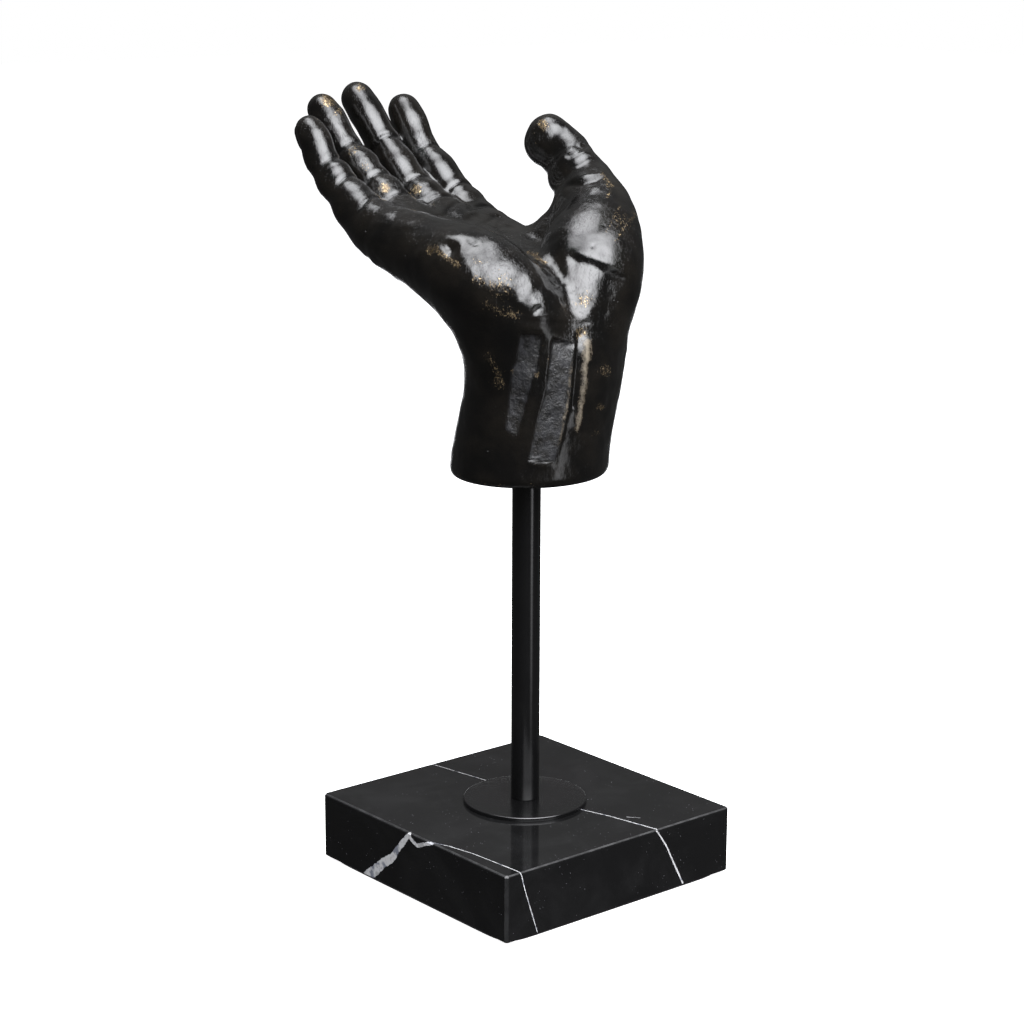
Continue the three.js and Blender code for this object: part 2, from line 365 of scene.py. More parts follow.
class Graph:
    """A node tree that grows by expressions."""

    def __init__(self, tree: bpy.types.NodeTree) -> None:
        """Takes a node tree."""
        self.tree = tree

    def node(self, kind: str, settings: dict | None = None, values: dict | None = None,
             out: Any = 0) -> Value:
        """Adds a node.

        Args:
            kind: its type.
            settings: its own settings, set first.
            values: values or links of its sockets, by name or place.
            out: which output to hand back.

        Returns:
            The output, wrapped.
        """
        made = self.tree.nodes.new(kind)
        for name, value in (settings or {}).items():
            setattr(made, name, value)
        for place, value in (values or {}).items():
            self.put(made.inputs[place], value)
        return Value(self, made.outputs[out])

    def put(self, socket: bpy.types.NodeSocket, value: Any) -> None:
        """Fills a socket.

        Args:
            socket: the socket.
            value: a wrapped socket to link, or a number, vector or colour to set.
        """
        if isinstance(value, Value):
            self.tree.links.new(value.socket, socket)
        elif socket.type == "RGBA":
            socket.default_value = (*value, 1.0)
        else:
            socket.default_value = value

    def place(self) -> Value:
        """Object coordinates, in metres."""
        return self.node("ShaderNodeTexCoord", out="Object")

    def attribute(self, name: str) -> Value:
        """A number that the mesh holds at its points."""
        return self.node("ShaderNodeAttribute", {"attribute_name": name}, out="Fac")

    def parts(self, vector: Value, axes: str) -> list[Value]:
        """A vector's parts along the named axes."""
        return [self.node("ShaderNodeSeparateXYZ", {}, {0: vector}, axis) for axis in axes]

    def vector(self, operation: str, first: Any, second: Any, out: Any = 0) -> Value:
        """One Vector Math node on two vectors."""
        return self.node("ShaderNodeVectorMath", {"operation": operation}, {0: first, 1: second}, out)

    def noise(self, where: Value, length: float, detail: float = 3.0, rough: float = 0.5,
              warp: float = 0.0) -> Value:
        """Fractal noise from 0 to 1.

        Args:
            where: coordinates to read it at.
            length: length of its largest forms, in millimetres.
            detail: how many times finer forms are added.
            rough: strength of each finer form against the one before.
            warp: how far the coordinates are bent by noise of their own.

        Returns:
            The noise.
        """
        values = {"Vector": where, "Scale": 1.0 / (length * MM), "Detail": detail}
        values |= {"Roughness": rough, "Distortion": warp}
        return self.node("ShaderNodeTexNoise", {}, values, "Fac")

    def cells(self, where: Value, length: float) -> Value:
        """Distance to the nearest of scattered points, in their spacing."""
        values = {"Vector": where, "Scale": 1.0 / (length * MM)}
        return self.node("ShaderNodeTexVoronoi", {}, values, "Distance")

    def stretch(self, where: Value, scale: Triple) -> Value:
        """Coordinates stretched along the axes."""
        return self.node("ShaderNodeMapping", {}, {"Vector": where, "Scale": scale})

    def mix(self, share: Number, first: Any, second: Any) -> Value:
        """Colour between two, by share."""
        values = {0: share, 6: first, 7: second}
        return self.node("ShaderNodeMix", {"data_type": "RGBA"}, values, 2)

    def bump(self, height: Value, depth: float, strength: float) -> Value:
        """Normal from a height whose full range is that many millimetres."""
        values = {"Height": height, "Distance": depth * MM, "Strength": strength}
        return self.node("ShaderNodeBump", {}, values)


class FinishGraph(Graph):
    """The node tree of one material, with its principled shader."""

    def __init__(self, name: str) -> None:
        """Makes a new material.

        Args:
            name: the material's name.
        """
        self.material = bpy.data.materials.new(name)
        self.material.use_nodes = True
        super().__init__(self.material.node_tree)
        self.shader = self.tree.nodes["Principled BSDF"]

    def set(self, **values: Any) -> bpy.types.Material:
        """Sets the shader's sockets.

        Args:
            values: values or links, by the sockets' names with _ for a space.

        Returns:
            The material.
        """
        for name, value in values.items():
            self.put(self.shader.inputs[name.replace("_", " ")], value)
        return self.material


# Finishes


@dataclass(frozen=True)
class LacqueredBronze:
    """Gloss black lacquer over bronze, rubbed through on the high places and rough where the wrist is cut.

    Sizes of the patterns are in millimetres.
    """

    black: Triple = (0.0022, 0.0021, 0.0020)
    brown: Triple = (0.0062, 0.0053, 0.0043)
    bronze: Triple = (0.105, 0.080, 0.053)
    gold: Triple = (0.46, 0.350, 0.200)
    slate: Triple = (0.015, 0.015, 0.0165)
    tan: Triple = (0.030, 0.024, 0.017)
    # Paler tan of the bare strip: partly random, and at the strip's top a painted highlight.
    pale_tan_and_highlight: Triple = (0.20, 0.172, 0.130)
    gloss: float = 0.15
    worn_gloss: float = 0.32
    cut_gloss: float = 0.36
    coat: float = 0.3
    coat_gloss: float = 0.05
    film_size: float = 18.0
    crumb_size: float = 1.3
    scratch_size: float = 1.0
    peel_size: float = 4.2
    brush_size: float = 1.7
    pit_size: float = 5.5
    pit_patch: float = 30.0
    floor_size: float = 1.6
    busy_patch: float = 24.0
    relief: float = 0.80

    def scratches(self, graph: Graph, where: Value, turn: float) -> Value:
        """Fine lines that run one way: noise stretched along a turned axis."""
        values = {"Vector": where, "Rotation": (0.5 * turn, turn, 0.3 * turn), "Scale": (1.0, 1.0, 0.22)}
        return graph.noise(graph.node("ShaderNodeMapping", {}, values), self.scratch_size, 3.0, 0.6, 0.9)

    def material(self) -> bpy.types.Material:
        """Makes the material.

        The hand's own numbers say where it is rubbed, cut, in a crease or bare, and noise breaks their edges
        up:
        past a threshold the lacquer is worn to metal, or brushed down to tan. In the creases the lacquer is
        painted plain black as painted shade, and the bare strip is paler tan at its top as a painted
        highlight. The height adds up peel, brush marks, pits and the rough floor of the cuts.

        Returns:
            The material.
        """
        graph = FinishGraph("lacquered_bronze")
        where = graph.place()
        rub, cut, crease_shade, bare = (graph.attribute(name) for name in ("rub", "cut", "crease_shade", "bare"))
        film = graph.noise(where, self.film_size, 4.0, 0.6)
        crumbs = graph.noise(where, self.crumb_size, 5.0, 0.72, 0.6)
        lines = self.scratches(graph, where, 0.7).most(self.scratches(graph, where, -0.9))
        peel = graph.noise(where, self.peel_size, 3.0, 0.5)
        worn = (rub * 0.80 + (crumbs - 0.5) * 0.9 + (lines - 0.55) * 1.0).step(0.40, 0.66)
        # Painted shade: where crease_shade is full the brown is dropped, so the creases are painted plain
        # black.
        lacquer = graph.mix((film.step(0.35, 0.75) + rub * 0.5) * (1.0 - crease_shade), self.black, self.brown)
        metal = graph.mix(crumbs.step(0.50, 0.66), self.bronze, self.gold)
        colour = graph.mix(cut * peel.step(0.35, 0.65), lacquer, self.slate)
        colour = graph.mix(worn, colour, metal)
        brushed = graph.noise(graph.stretch(where, (1.0, 1.0, 0.4)), self.brush_size, 3.0, 0.55, 0.6)
        # The bare strip is worn tan; where bare is strongest, at its top, it turns pale tan as a painted
        # highlight.
        mottle = bare + (brushed - 0.5) * 0.8 + (crumbs - 0.5) * 1.1
        strip = mottle.step(0.34, 0.60)
        colour = graph.mix(strip, colour, graph.mix(mottle.step(0.48, 1.15), self.tan, self.pale_tan_and_highlight))
        pitted = graph.noise(where, self.pit_patch, 1.0).step(0.5, 0.6)
        pits = graph.cells(where, self.pit_size).step(0.085, 0.03) * pitted
        floor = graph.noise(where, self.floor_size, 5.0, 0.65)
        busy = graph.noise(where, self.busy_patch, 2.0).step(0.42, 0.62)
        fine = brushed * 0.16 + lines.step(0.58, 0.72) * 0.05 + crumbs * 0.05
        grain = fine * (0.35 + busy + rub * 1.3)
        height = peel * 0.24 + grain - pits * 0.30 + floor * cut * 0.65 - worn * 0.03
        satin = self.gloss + (film - 0.5) * 0.10 + (brushed - 0.5) * 0.12
        exposed = worn.most(strip)
        roughness = satin + exposed * (self.worn_gloss - self.gloss) + cut * (self.cut_gloss - self.gloss)
        return graph.set(
            Base_Color=colour, Metallic=worn, Roughness=roughness, Specular_IOR_Level=0.5,
            Coat_Weight=self.coat * (1.0 - exposed) * (1.0 - cut * 0.8) * (1.0 - pits),
            Coat_Roughness=self.coat_gloss, Normal=graph.bump(height, self.relief, 1.0))


@dataclass(frozen=True)
class Vein:
    """A vein on the slab: straight legs between points in millimetres, and its half-width at both ends."""

    line: Rows
    start: float
    end: float
    jagged: float = 0.6


@dataclass(frozen=True)
class VeinedMarble:
    """Polished black marble with white veins and fine pale specks, and a painted highlight along its edges.

    The bands of the painted edge highlight are in millimetres: past the chamfer's face, below the top and
    round the upright corners.
    """

    ground: Triple = (0.0055, 0.0055, 0.0057)
    cloud: Triple = (0.0100, 0.0100, 0.0103)
    white: Triple = (0.60, 0.60, 0.61)
    grey: Triple = (0.22, 0.22, 0.24)
    blue_grey: Triple = (0.20, 0.21, 0.25)
    # Painted highlight: pale colour laid along the chamfers and upright corners, where light catches the
    # edges.
    edge_highlight: Triple = (0.045, 0.045, 0.046)
    gloss: float = 0.07
    chamfer_band: tuple[float, float] = (-1.05, -0.85)
    upper_band: tuple[float, float] = (-0.60, -0.40)
    corner_round: float = 0.0016
    corner_band: tuple[float, float] = (0.0, 0.6)
    corner_share: float = 0.45
    cloud_size: float = 26.0
    fine_size: float = 3.0
    uneven_size: float = 6.0
    speck_size: float = 1.9
    speck_patch: float = 9.0
    veins: tuple[Vein, ...] = (
        Vein(((-66, -3, 31.5), (-33, 2.5, 31.5), (24, 11.2, 31.5), (39, 15.7, 31.5), (65, 21, 31.5)),
             0.10, 0.26),
        Vein(((65, 20, 31.5), (65, 26, 23.0), (65, 31.7, 12.0), (65, 38, 0.0)), 0.30, 0.34),
        Vein(((45, 21, 31.5), (49.6, 24.6, 31.5)), 0.12, 0.05),
        Vein(((-1, -65, 30.5), (-8, -65, 23), (-13.5, -65, 16.0), (-20, -65, 11.5), (-33, -65, 0.5)),
             1.1, 2.6, 2.4),
        Vein(((-1, -65, 29.5), (4.5, -65, 27.0), (9, -65, 29.0), (15, -65, 31.5)), 0.9, 0.8, 1.6),
        Vein(((13, -65, 31.5), (22.6, -61.5, 31.5), (36, -59, 31.5), (56, -57.5, 31.5), (64.3, -57.1, 31.5),
              (65, -57, 30.8)), 0.14, 0.14),
        Vein(((65, -57, 30.8), (65, -54.5, 22.0), (65, -47.6, 1.5)), 0.16, 0.16),
        Vein(((-65, -3, 31.0), (-65, -8, 18.0), (-65, -6, 0.0)), 0.2, 0.3),
        Vein(((-65, 40, 0.0), (-50, 65, 10.0), (-38, 65, 31.0)), 0.5, 0.2, 1.4),
        Vein(((30, 65, 0.0), (44, 65, 14.0), (50, 65, 31.0)), 0.25, 0.15),
    )

    def distance(self, graph: Graph, where: Value, vein: Vein) -> Value:
        """Shader value of the distance past a vein's edge: the least over its legs.

        On each leg a clamped dot product gives the nearest place, and the vein's half-width there is taken
        off the distance to it.

        Args:
            graph: the material's nodes.
            where: coordinates in metres.
            vein: the vein.

        Returns:
            The distance in millimetres, negative in the vein.
        """
        found = None
        points = np.asarray(vein.line, float) * MM
        widths = np.linspace(vein.start, vein.end, len(points))
        for a, b, wide, wider in zip(points[:-1], points[1:], widths[:-1], widths[1:]):
            length = float(np.linalg.norm(b - a))
            way = tuple((b - a) / length)
            from_a = graph.vector("SUBTRACT", where, tuple(a))
            t = graph.vector("DOT_PRODUCT", from_a, way, "Value").most(0.0).least(length)
            foot = graph.node("ShaderNodeVectorMath", {"operation": "SCALE"}, {0: way, "Scale": t})
            gap = graph.vector("DISTANCE", from_a, foot, "Value")
            edge = gap * (1.0 / MM) - (t * ((wider - wide) / length) + wide)
            found = edge if found is None else found.least(edge)
        return found

    def edges(self, graph: Graph, where: Value) -> Value:
        """Finds where the edge highlight is painted: bands of the sum of height and reach, and of the lesser
        reach to a side.

        Args:
            graph: the material's nodes.
            where: coordinates in metres.

        Returns:
            Shader value that is 1 on the upper chamfers, and less on the upright corners.
        """
        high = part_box("marble_base")[1]
        x, y, z = graph.parts(where, "XYZ")
        chamfer = x.size().most(y.size()) + z - (high.x + high.z)
        corner = x.size().least(y.size()) - (high.x - self.corner_round)
        along, upper, upright = (
            value.step(*(edge * MM for edge in band)) for value, band in (
                (chamfer, self.chamfer_band), (z - high.z, self.upper_band), (corner, self.corner_band)))
        return (along * upper).most(upright * self.corner_share)

    def material(self) -> bpy.types.Material:
        """Makes the material: clouds and specks, over them a painted highlight on the edges, and the veins
        over all.

        Returns:
            The material.
        """
        graph = FinishGraph("veined_marble")
        where = graph.place()
        cloud = graph.noise(where, self.cloud_size, 5.0, 0.62, 0.6)
        fine = graph.noise(where, self.fine_size, 6.0, 0.7)
        uneven = graph.noise(where, self.uneven_size, 3.0, 0.6)
        speckled = graph.noise(where, self.speck_patch, 2.0).step(0.50, 0.64)
        specks = graph.cells(where, self.speck_size).step(0.15, 0.06) * speckled
        colour = graph.mix(cloud.step(0.40, 0.75), self.ground, self.cloud)
        colour = graph.mix(specks * 0.45, colour, self.grey)
        strong = None
        for vein in self.veins:
            bent = (fine - 0.5) * vein.jagged
            white = (self.distance(graph, where, vein) + bent).step(0.16, -0.10)
            strong = white if strong is None else strong.most(white)
        chalk = graph.mix(uneven.step(0.52, 0.66), self.white, self.blue_grey)
        # Painted highlight: the chamfers and upright corners are lightened towards edge_highlight.
        edge = self.edges(graph, where) * (0.6 + 0.4 * uneven.step(0.38, 0.62))
        colour = graph.mix(edge * 0.8, colour, self.edge_highlight)
        colour = graph.mix(strong * (0.62 + 0.38 * uneven.step(0.36, 0.50)), colour, chalk)
        return graph.set(
            Base_Color=colour, Roughness=self.gloss + (cloud - 0.5) * 0.04 + strong * 0.05 + edge * 0.4,
            Specular_IOR_Level=0.5, Normal=graph.bump(graph.noise(where, 40.0, 2.0), 0.02, 0.25))


@dataclass(frozen=True)
class SatinBlack:
    """Black powder coat with a fine grain."""

    colour: Triple = (0.0026, 0.0026, 0.0028)
    gloss: float = 0.22
    grain: float = 0.9
    dust_size: float = 22.0
    shine: float = 0.85

    def material(self) -> bpy.types.Material:
        """Makes the material: fine grain in the coat, and dust that pales it.

        Returns:
            The material.
        """
        graph = FinishGraph("satin_black_coat")
        where = graph.place()
        grain = graph.noise(where, self.grain, 2.0)
        dust = graph.noise(where, self.dust_size, 4.0, 0.6)
        colour = graph.mix(dust.step(0.45, 0.8), self.colour, tuple(1.6 * c for c in self.colour))
        return graph.set(
            Base_Color=colour, Roughness=self.gloss + (dust - 0.5) * 0.08 + (grain - 0.5) * 0.05,
            Specular_IOR_Level=self.shine, Normal=graph.bump(grain, 0.03, 0.5))


@dataclass(frozen=True)
class PlatedMetal:
    """Bare or plated metal with turning marks round the rod's axis."""

    name: str
    colour: Triple
    stain: Triple
    gloss: float = 0.32

    def material(self) -> bpy.types.Material:
        """Makes the material: noise drawn out round the axis, and a clouded stain.

        Returns:
            The material.
        """
        graph = FinishGraph(self.name)
        where = graph.place()
        lines = graph.noise(graph.stretch(where, (0.15, 0.15, 3.0)), 1.2, 3.0)
        cloud = graph.noise(where, 6.0, 3.0)
        colour = graph.mix(cloud.step(0.45, 0.8), self.colour, self.stain)
        return graph.set(
            Base_Color=colour, Metallic=1.0, Roughness=self.gloss + (lines - 0.5) * 0.2,
            Normal=graph.bump(lines, 0.02, 0.5))


@dataclass(frozen=True)
class PressedFelt:
    """Black pressed felt: matted fibres with a soft sheen."""

    dark: Triple = (0.009, 0.009, 0.010)
    light: Triple = (0.026, 0.026, 0.028)

    def material(self) -> bpy.types.Material:
        """Makes the material: warped noise for the fibres, and slow changes in how matt it is.

        Returns:
            The material.
        """
        graph = FinishGraph("pressed_felt")
        where = graph.place()
        fibres = graph.noise(where, 1.1, 5.0, 0.75, 2.5)
        mat = graph.noise(where, 8.0, 3.0)
        colour = graph.mix(fibres.step(0.35, 0.7), self.dark, self.light)
        return graph.set(
            Base_Color=colour, Roughness=0.9 + (mat - 0.5) * 0.15, Specular_IOR_Level=0.15,
            Sheen_Weight=0.35, Sheen_Roughness=0.5, Normal=graph.bump(fibres, 0.25, 0.8))


# Meshes


@dataclass
class Patch:
    """Points and faces of one piece, with numbers held at the points."""

    points: Array
    faces: Array
    numbers: dict[str, Array] = field(default_factory=dict)

    def piece(self, name: str, material: bpy.types.Material, smooth: bool = True) -> bpy.types.Object:
        """Makes the mesh object, in metres at the origin.

        Args:
            name: the piece's name.
            material: its finish.
            smooth: whether its faces are shaded smooth.

        Returns:
            The object.
        """
        mesh = bpy.data.meshes.new(name)
        mesh.from_pydata(self.points, [], self.faces)
        mesh.update()
        for key, values in self.numbers.items():
            mesh.attributes.new(key, "FLOAT", "POINT").data.foreach_set("value", values.astype(np.float32))
        mesh.polygons.foreach_set("use_smooth", np.full(len(mesh.polygons), smooth))
        mesh.materials.append(material)
        made = bpy.data.objects.new(name, mesh)
        bpy.context.scene.collection.objects.link(made)
        return made


def turned(profile: Rows, sides: int) -> Patch:
    """Surface of revolution about Z: a closed profile carried round a circle.

    Args:
        profile: radius and height of the profile's corners in order, in metres.
        sides: legs of the circle.

    Returns:
        The surface.
    """
    outline = np.asarray(profile, float)
    angle = np.linspace(0.0, 2.0 * math.pi, sides, endpoint=False)[:, None]
    x, y = outline[:, 0] * np.cos(angle), outline[:, 0] * np.sin(angle)
    ring = np.stack([x, y, outline[:, 1] + 0 * angle], axis=-1)
    count = len(outline)
    i, j = np.meshgrid(np.arange(sides), np.arange(count), indexing="ij")
    a, b = i * count + j, ((i + 1) % sides) * count + j
    c, d = ((i + 1) % sides) * count + (j + 1) % count, i * count + (j + 1) % count
    return Patch(ring.reshape(-1, 3), np.stack([a, b, c, d], axis=-1).reshape(-1, 4))


def rounded(corners: Rows, radii: tuple[float, ...], steps: int = 6) -> Rows:
    """Closed profile whose corners are rounded by arcs.

    Args:
        corners: the profile's corners in order.
        radii: the radius at each corner.
        steps: legs in each arc.

    Returns:
        The points of the rounded profile.
    """
    spots = np.asarray(corners, float)
    out: list[tuple[float, ...]] = []
    for here, before, after, radius in zip(spots, np.roll(spots, 1, 0), np.roll(spots, -1, 0), radii):
        into, away = unit(before - here), unit(after - here)
        half = math.acos(float(np.clip(into @ away, -1, 1))) / 2
        centre = here + unit(into + away) * radius / math.sin(half)
        first = here + into * radius / math.tan(half) - centre
        last = here + away * radius / math.tan(half) - centre
        for t in np.linspace(0.0, 1.0, steps + 1):
            out.append(tuple(centre + unit(first * (1 - t) + last * t) * radius))
    return tuple(out)


# The hand's shape as a distance field, in millimetres


@dataclass
class Limb:
    """Elliptical sections along a smooth curve, joined by tapered capsules.

    Each section is a middle, a half-width across and, unless it is round, a half-thickness.
    """

    sections: Rows
    across: Any = (0.0, 1.0, 0.0)
    blend: float = 3.0
    steps: int = 3

    def __post_init__(self) -> None:
        """Works out the sections between the given ones, and the box round them."""
        rows = tuple((*s, s[3]) if len(s) == 4 else s for s in self.sections)
        self.rows = through(rows, self.steps)
        reach = self.rows[:, 3:].max(axis=1, keepdims=True)
        self.low, self.high = (self.rows[:, :3] - reach).min(0), (self.rows[:, :3] + reach).max(0)

    def near(self, points: Array, margin: float = 13.0) -> Array:
        """Which points lie within a margin of the limb's box."""
        return np.all((points > self.low - margin) & (points < self.high + margin), axis=1)

    def field(self, points: Array) -> Array:
        """Distance to the limb: the least over its capsules, blended.

        Args:
            points: points to measure, one a row.

        Returns:
            The distance at each, negative inside.
        """
        found = None
        for a, b in zip(self.rows[:-1], self.rows[1:]):
            gap = self.capsule(points, a, b)
            found = gap if found is None else smooth_min(found, gap, self.blend)
        return found

    def capsule(self, points: Array, a: Array, b: Array) -> Array:
        """Distance to one capsule: the section at the nearest place on its axis, scaled to a unit ellipse.

        Args:
            points: points to measure, one a row.
            a: the section where it starts.
            b: the section where it ends.

        Returns:
            The distance at each, negative inside.
        """
        length = np.linalg.norm(b[:3] - a[:3])
        axis = (b[:3] - a[:3]) / length
        side = unit(np.asarray(self.across) - axis * (np.asarray(self.across) @ axis))
        local = points - a[:3]
        run = local @ axis
        t = np.clip(run / length, 0.0, 1.0)
        wide, thick = (a[i] + (b[i] - a[i]) * t for i in (3, 4))
        end = np.minimum(wide, thick)
        up = np.cross(axis, side)
        scaled = np.stack([local @ side / wide, local @ up / thick, (run - t * length) / end])
        radius = np.sqrt((scaled ** 2).sum(0))
        slope = np.sqrt(((scaled / np.stack([wide, thick, end])) ** 2).sum(0))
        return radius * (radius - 1.0) / np.maximum(slope, TINY)


@dataclass
class Digit:
    """A finger or the thumb: a core with pads between its creases, knuckles behind, and a nail.

    Shares are of the half-thickness at the place; depths, widths and gaps are in millimetres.
    """

    name: str
    joints: Rows
    thick: tuple[float, ...]
    pad_way: Triple
    crease_shift: tuple[float, ...]
    root: float = 0.0
    core_share: float = 0.87
    pad_reach: float = 0.19
    pad_share: float = 0.91
    pad_gap: float = 0.7
    wide: float = 1.0
    deep: float = 1.0
    root_share: float = 0.80
    root_lean: Triple = (-0.3, 0.0, 0.1)
    base_pad: float = 0.4
    tip_shift: float = 0.45
    tip_reach: float = 0.42
    pad_blend: float = 1.6
    knuckle: Triple = (0.95, 0.90, 0.76)
    knuckle_set: float = 0.27
    knuckle_blend: float = 3.0
    crease: float = 0.9
    crease_width: float = 1.3
    crease_bow: float = 0.035
    wrinkle: float = 0.32
    wrinkle_width: float = 0.75
    wrinkle_gap: float = 2.6
    wrinkle_bow: float = 0.05
    nail_groove: float = 0.55
    nail_rise: float = 0.30

    @classmethod
    def finger(cls, name: str, knuckle: Triple, bones: Triple, rises: Triple, thick: tuple[float, ...],
               crease_shift: Triple, turn: float, splay: float = -7.5, root: float = 16.0) -> "Digit":
        """Lays out a finger bone by bone from its knuckle.

        Args:
            name: the finger.
            knuckle: middle of its knuckle.
            bones: the bones' lengths.
            rises: how far each bone rises above level, in degrees.
            thick: half-thickness at the knuckle, at the two joints and at the tip.
            crease_shift: how far each crease lies past its joint.
            turn: how far the pads are turned to the side, in degrees.
            splay: how far the finger leans to the side, in degrees.
            root: how far its core reaches into the palm.

        Returns:
            The finger.
        """
        joints = [np.asarray(knuckle, float)]
        side, aside, mean = (math.radians(angle) for angle in (splay, turn, float(np.mean(rises))))
        for length, rise in zip(bones, np.radians(rises)):
            level = math.cos(rise)
            way = np.array([-level * math.cos(side), level * math.sin(side), math.sin(rise)])
            joints.append(joints[-1] + length * way)
        pad_way = (math.sin(mean) * math.cos(aside), math.sin(aside), math.cos(mean) * math.cos(aside))
        return cls(name, tuple(map(tuple, joints)), thick, pad_way, crease_shift, root)

    def __post_init__(self) -> None:
        """Makes the core."""
        spots = [np.asarray(j, float) for j in self.joints]
        sections = [(*j, self.core_share * self.wide * t, self.core_share * self.deep * t)
                    for j, t in zip(spots, self.thick)]
        first = unit(spots[1] - spots[0])
        if self.root:
            back = unit(first + np.array(self.root_lean))
            half = self.root_share * self.thick[0]
            sections.insert(0, (*(spots[0] - self.root * back), half, half))
        self.core = Limb(tuple(sections), np.cross(first, self.pad_way), 1.5)

    def directions(self, axis: Any) -> Array:
        """Works out the directions at a place on the digit.

        Args:
            axis: the way along the digit there.

        Returns:
            Unit vectors along, across and out of the pad, one a row.
        """
        axis = unit(axis)
        pad = unit(np.asarray(self.pad_way) - axis * (np.asarray(self.pad_way) @ axis))
        return np.stack([axis, np.cross(axis, pad), pad])

    def bones(self) -> list[tuple[Array, Array, Array, float]]:
        """Lists the bones from the knuckle to the tip.

        Returns:
            Start, end, directions and mean half-thickness of each.
        """
        spots = np.asarray(self.joints, float)
        return [(a, b, self.directions(b - a), (s + t) / 2)
                for a, b, s, t in zip(spots[:-1], spots[1:], self.thick[:-1], self.thick[1:])]

    def bends(self) -> list[tuple[Array, Array, float]]:
        """Lists the joints, the knuckle first; a joint's axis halves the bend of its two bones.

        Returns:
            Place, directions and half-thickness of each.
        """
        spots = np.asarray(self.joints, float)
        ways = [unit(b - a) for a, b in zip(spots[:-1], spots[1:])]
        axes = [ways[0], *(a + b for a, b in zip(ways[:-1], ways[1:]))]
        return [(at, self.directions(axis), t) for at, axis, t in zip(spots, axes, self.thick)]

    def field(self, points: Array) -> Array:
        """Distance to the digit: the core, an ellipsoid for each pad and one for each knuckle, blended.

        Args:
            points: points to measure, one a row.

        Returns:
            The distance at each, negative inside.
        """
        found = self.core.field(points)
        bones = self.bones()
        shifts = (*self.crease_shift, *(0.0 for _ in self.thick))
        for number, (a, b, axes, thick) in enumerate(bones):
            last = number == len(bones) - 1
            tip = self.thick[-1] if last else 0.0
            start, end = shifts[number], np.linalg.norm(b - a) + (0.0 if last else shifts[number + 1])
            reach = self.pad_reach * (1.0 if number else self.base_pad)
            middle = a + axes[0] * ((start + end) / 2 + self.tip_shift * tip) + axes[2] * thick * reach
            long_half = (end - start) / 2 - self.pad_gap + self.tip_reach * tip
            round_half = thick * self.pad_share
            half = (long_half, round_half * self.wide, round_half * self.deep)
            found = smooth_min(found, ellipsoid(points, middle, axes, half), self.pad_blend)
        for at, axes, thick in self.bends()[0 if self.root else 1:]:
            half = tuple(share * thick for share in self.knuckle)
            middle = at - self.knuckle_set * thick * axes[2]
            found = smooth_min(found, ellipsoid(points, middle, axes, half), self.knuckle_blend)
        return found

    def crease_depth(self, points: Array) -> Array:
        """Depth of the folds across the pads: bells along the digit, on the pad's half of it.

        Args:
            points: points on the hand, one a row.

        Returns:
            The depth at each.
        """
        depth = np.zeros(len(points))
        for (at, axes, thick), shift in zip(self.bends(), self.crease_shift):
            run, across, out = ((points - at) @ axes.T).T
            radius = np.hypot(across, out)
            run = run - shift + self.crease_bow * across ** 2
            facing = ramp(out / np.maximum(radius, TINY), 0.25, 0.8) * (radius < 1.9 * thick)
            depth += self.crease * facing * bell(run, self.crease_width)
        return depth

    def wrinkle_depth(self, points: Array) -> Array:
        """Depth of the fine folds over the knuckles behind: three bowed bells over each joint.

        Args:
            points: points on the hand, one a row.

        Returns:
            The depth at each.
        """
        depth = np.zeros(len(points))
        for at, axes, thick in self.bends()[1:] if self.crease_shift else ():
            run, across, out = ((points - at) @ axes.T).T
            behind = ramp(-out / thick, 0.35, 0.7) * (np.hypot(across, out) < 1.8 * thick)
            for offset in (-self.wrinkle_gap, 0.0, self.wrinkle_gap):
                bow = self.wrinkle_bow * math.copysign(1.0, offset or 1.0) * across ** 2 / thick
                line = bell(run - offset - bow, self.wrinkle_width)
                depth += self.wrinkle * behind * line * bell(across, 0.75 * thick)
        return depth

    def nail_depth(self, points: Array) -> Array:
        """Depth of the groove round the nail, less the nail's own rise: a rounded plate behind the tip.

        Args:
            points: points on the hand, one a row.

        Returns:
            The depth at each.
        """
        a, b, axes, _ = self.bones()[-1]
        length, tip = float(np.linalg.norm(b - a)), self.thick[-1]
        run, across, out = ((points - a) @ axes.T).T
        half_long, half_wide = 0.28 * length + 0.36 * tip, 0.70 * tip
        middle = length + 0.72 * tip - half_long
        plate = (np.abs((run - middle) / half_long) ** 3 + np.abs(across / half_wide) ** 3) ** (1 / 3)
        behind = ramp(-out / tip, 0.15, 0.45) * (np.hypot(across, out) < 1.6 * tip) * ramp(run, 0.0, 1.0)
        groove = self.nail_groove * bell(plate - 1.08, 0.13)
        return behind * (groove - self.nail_rise * ramp(plate, 1.0, 0.85))


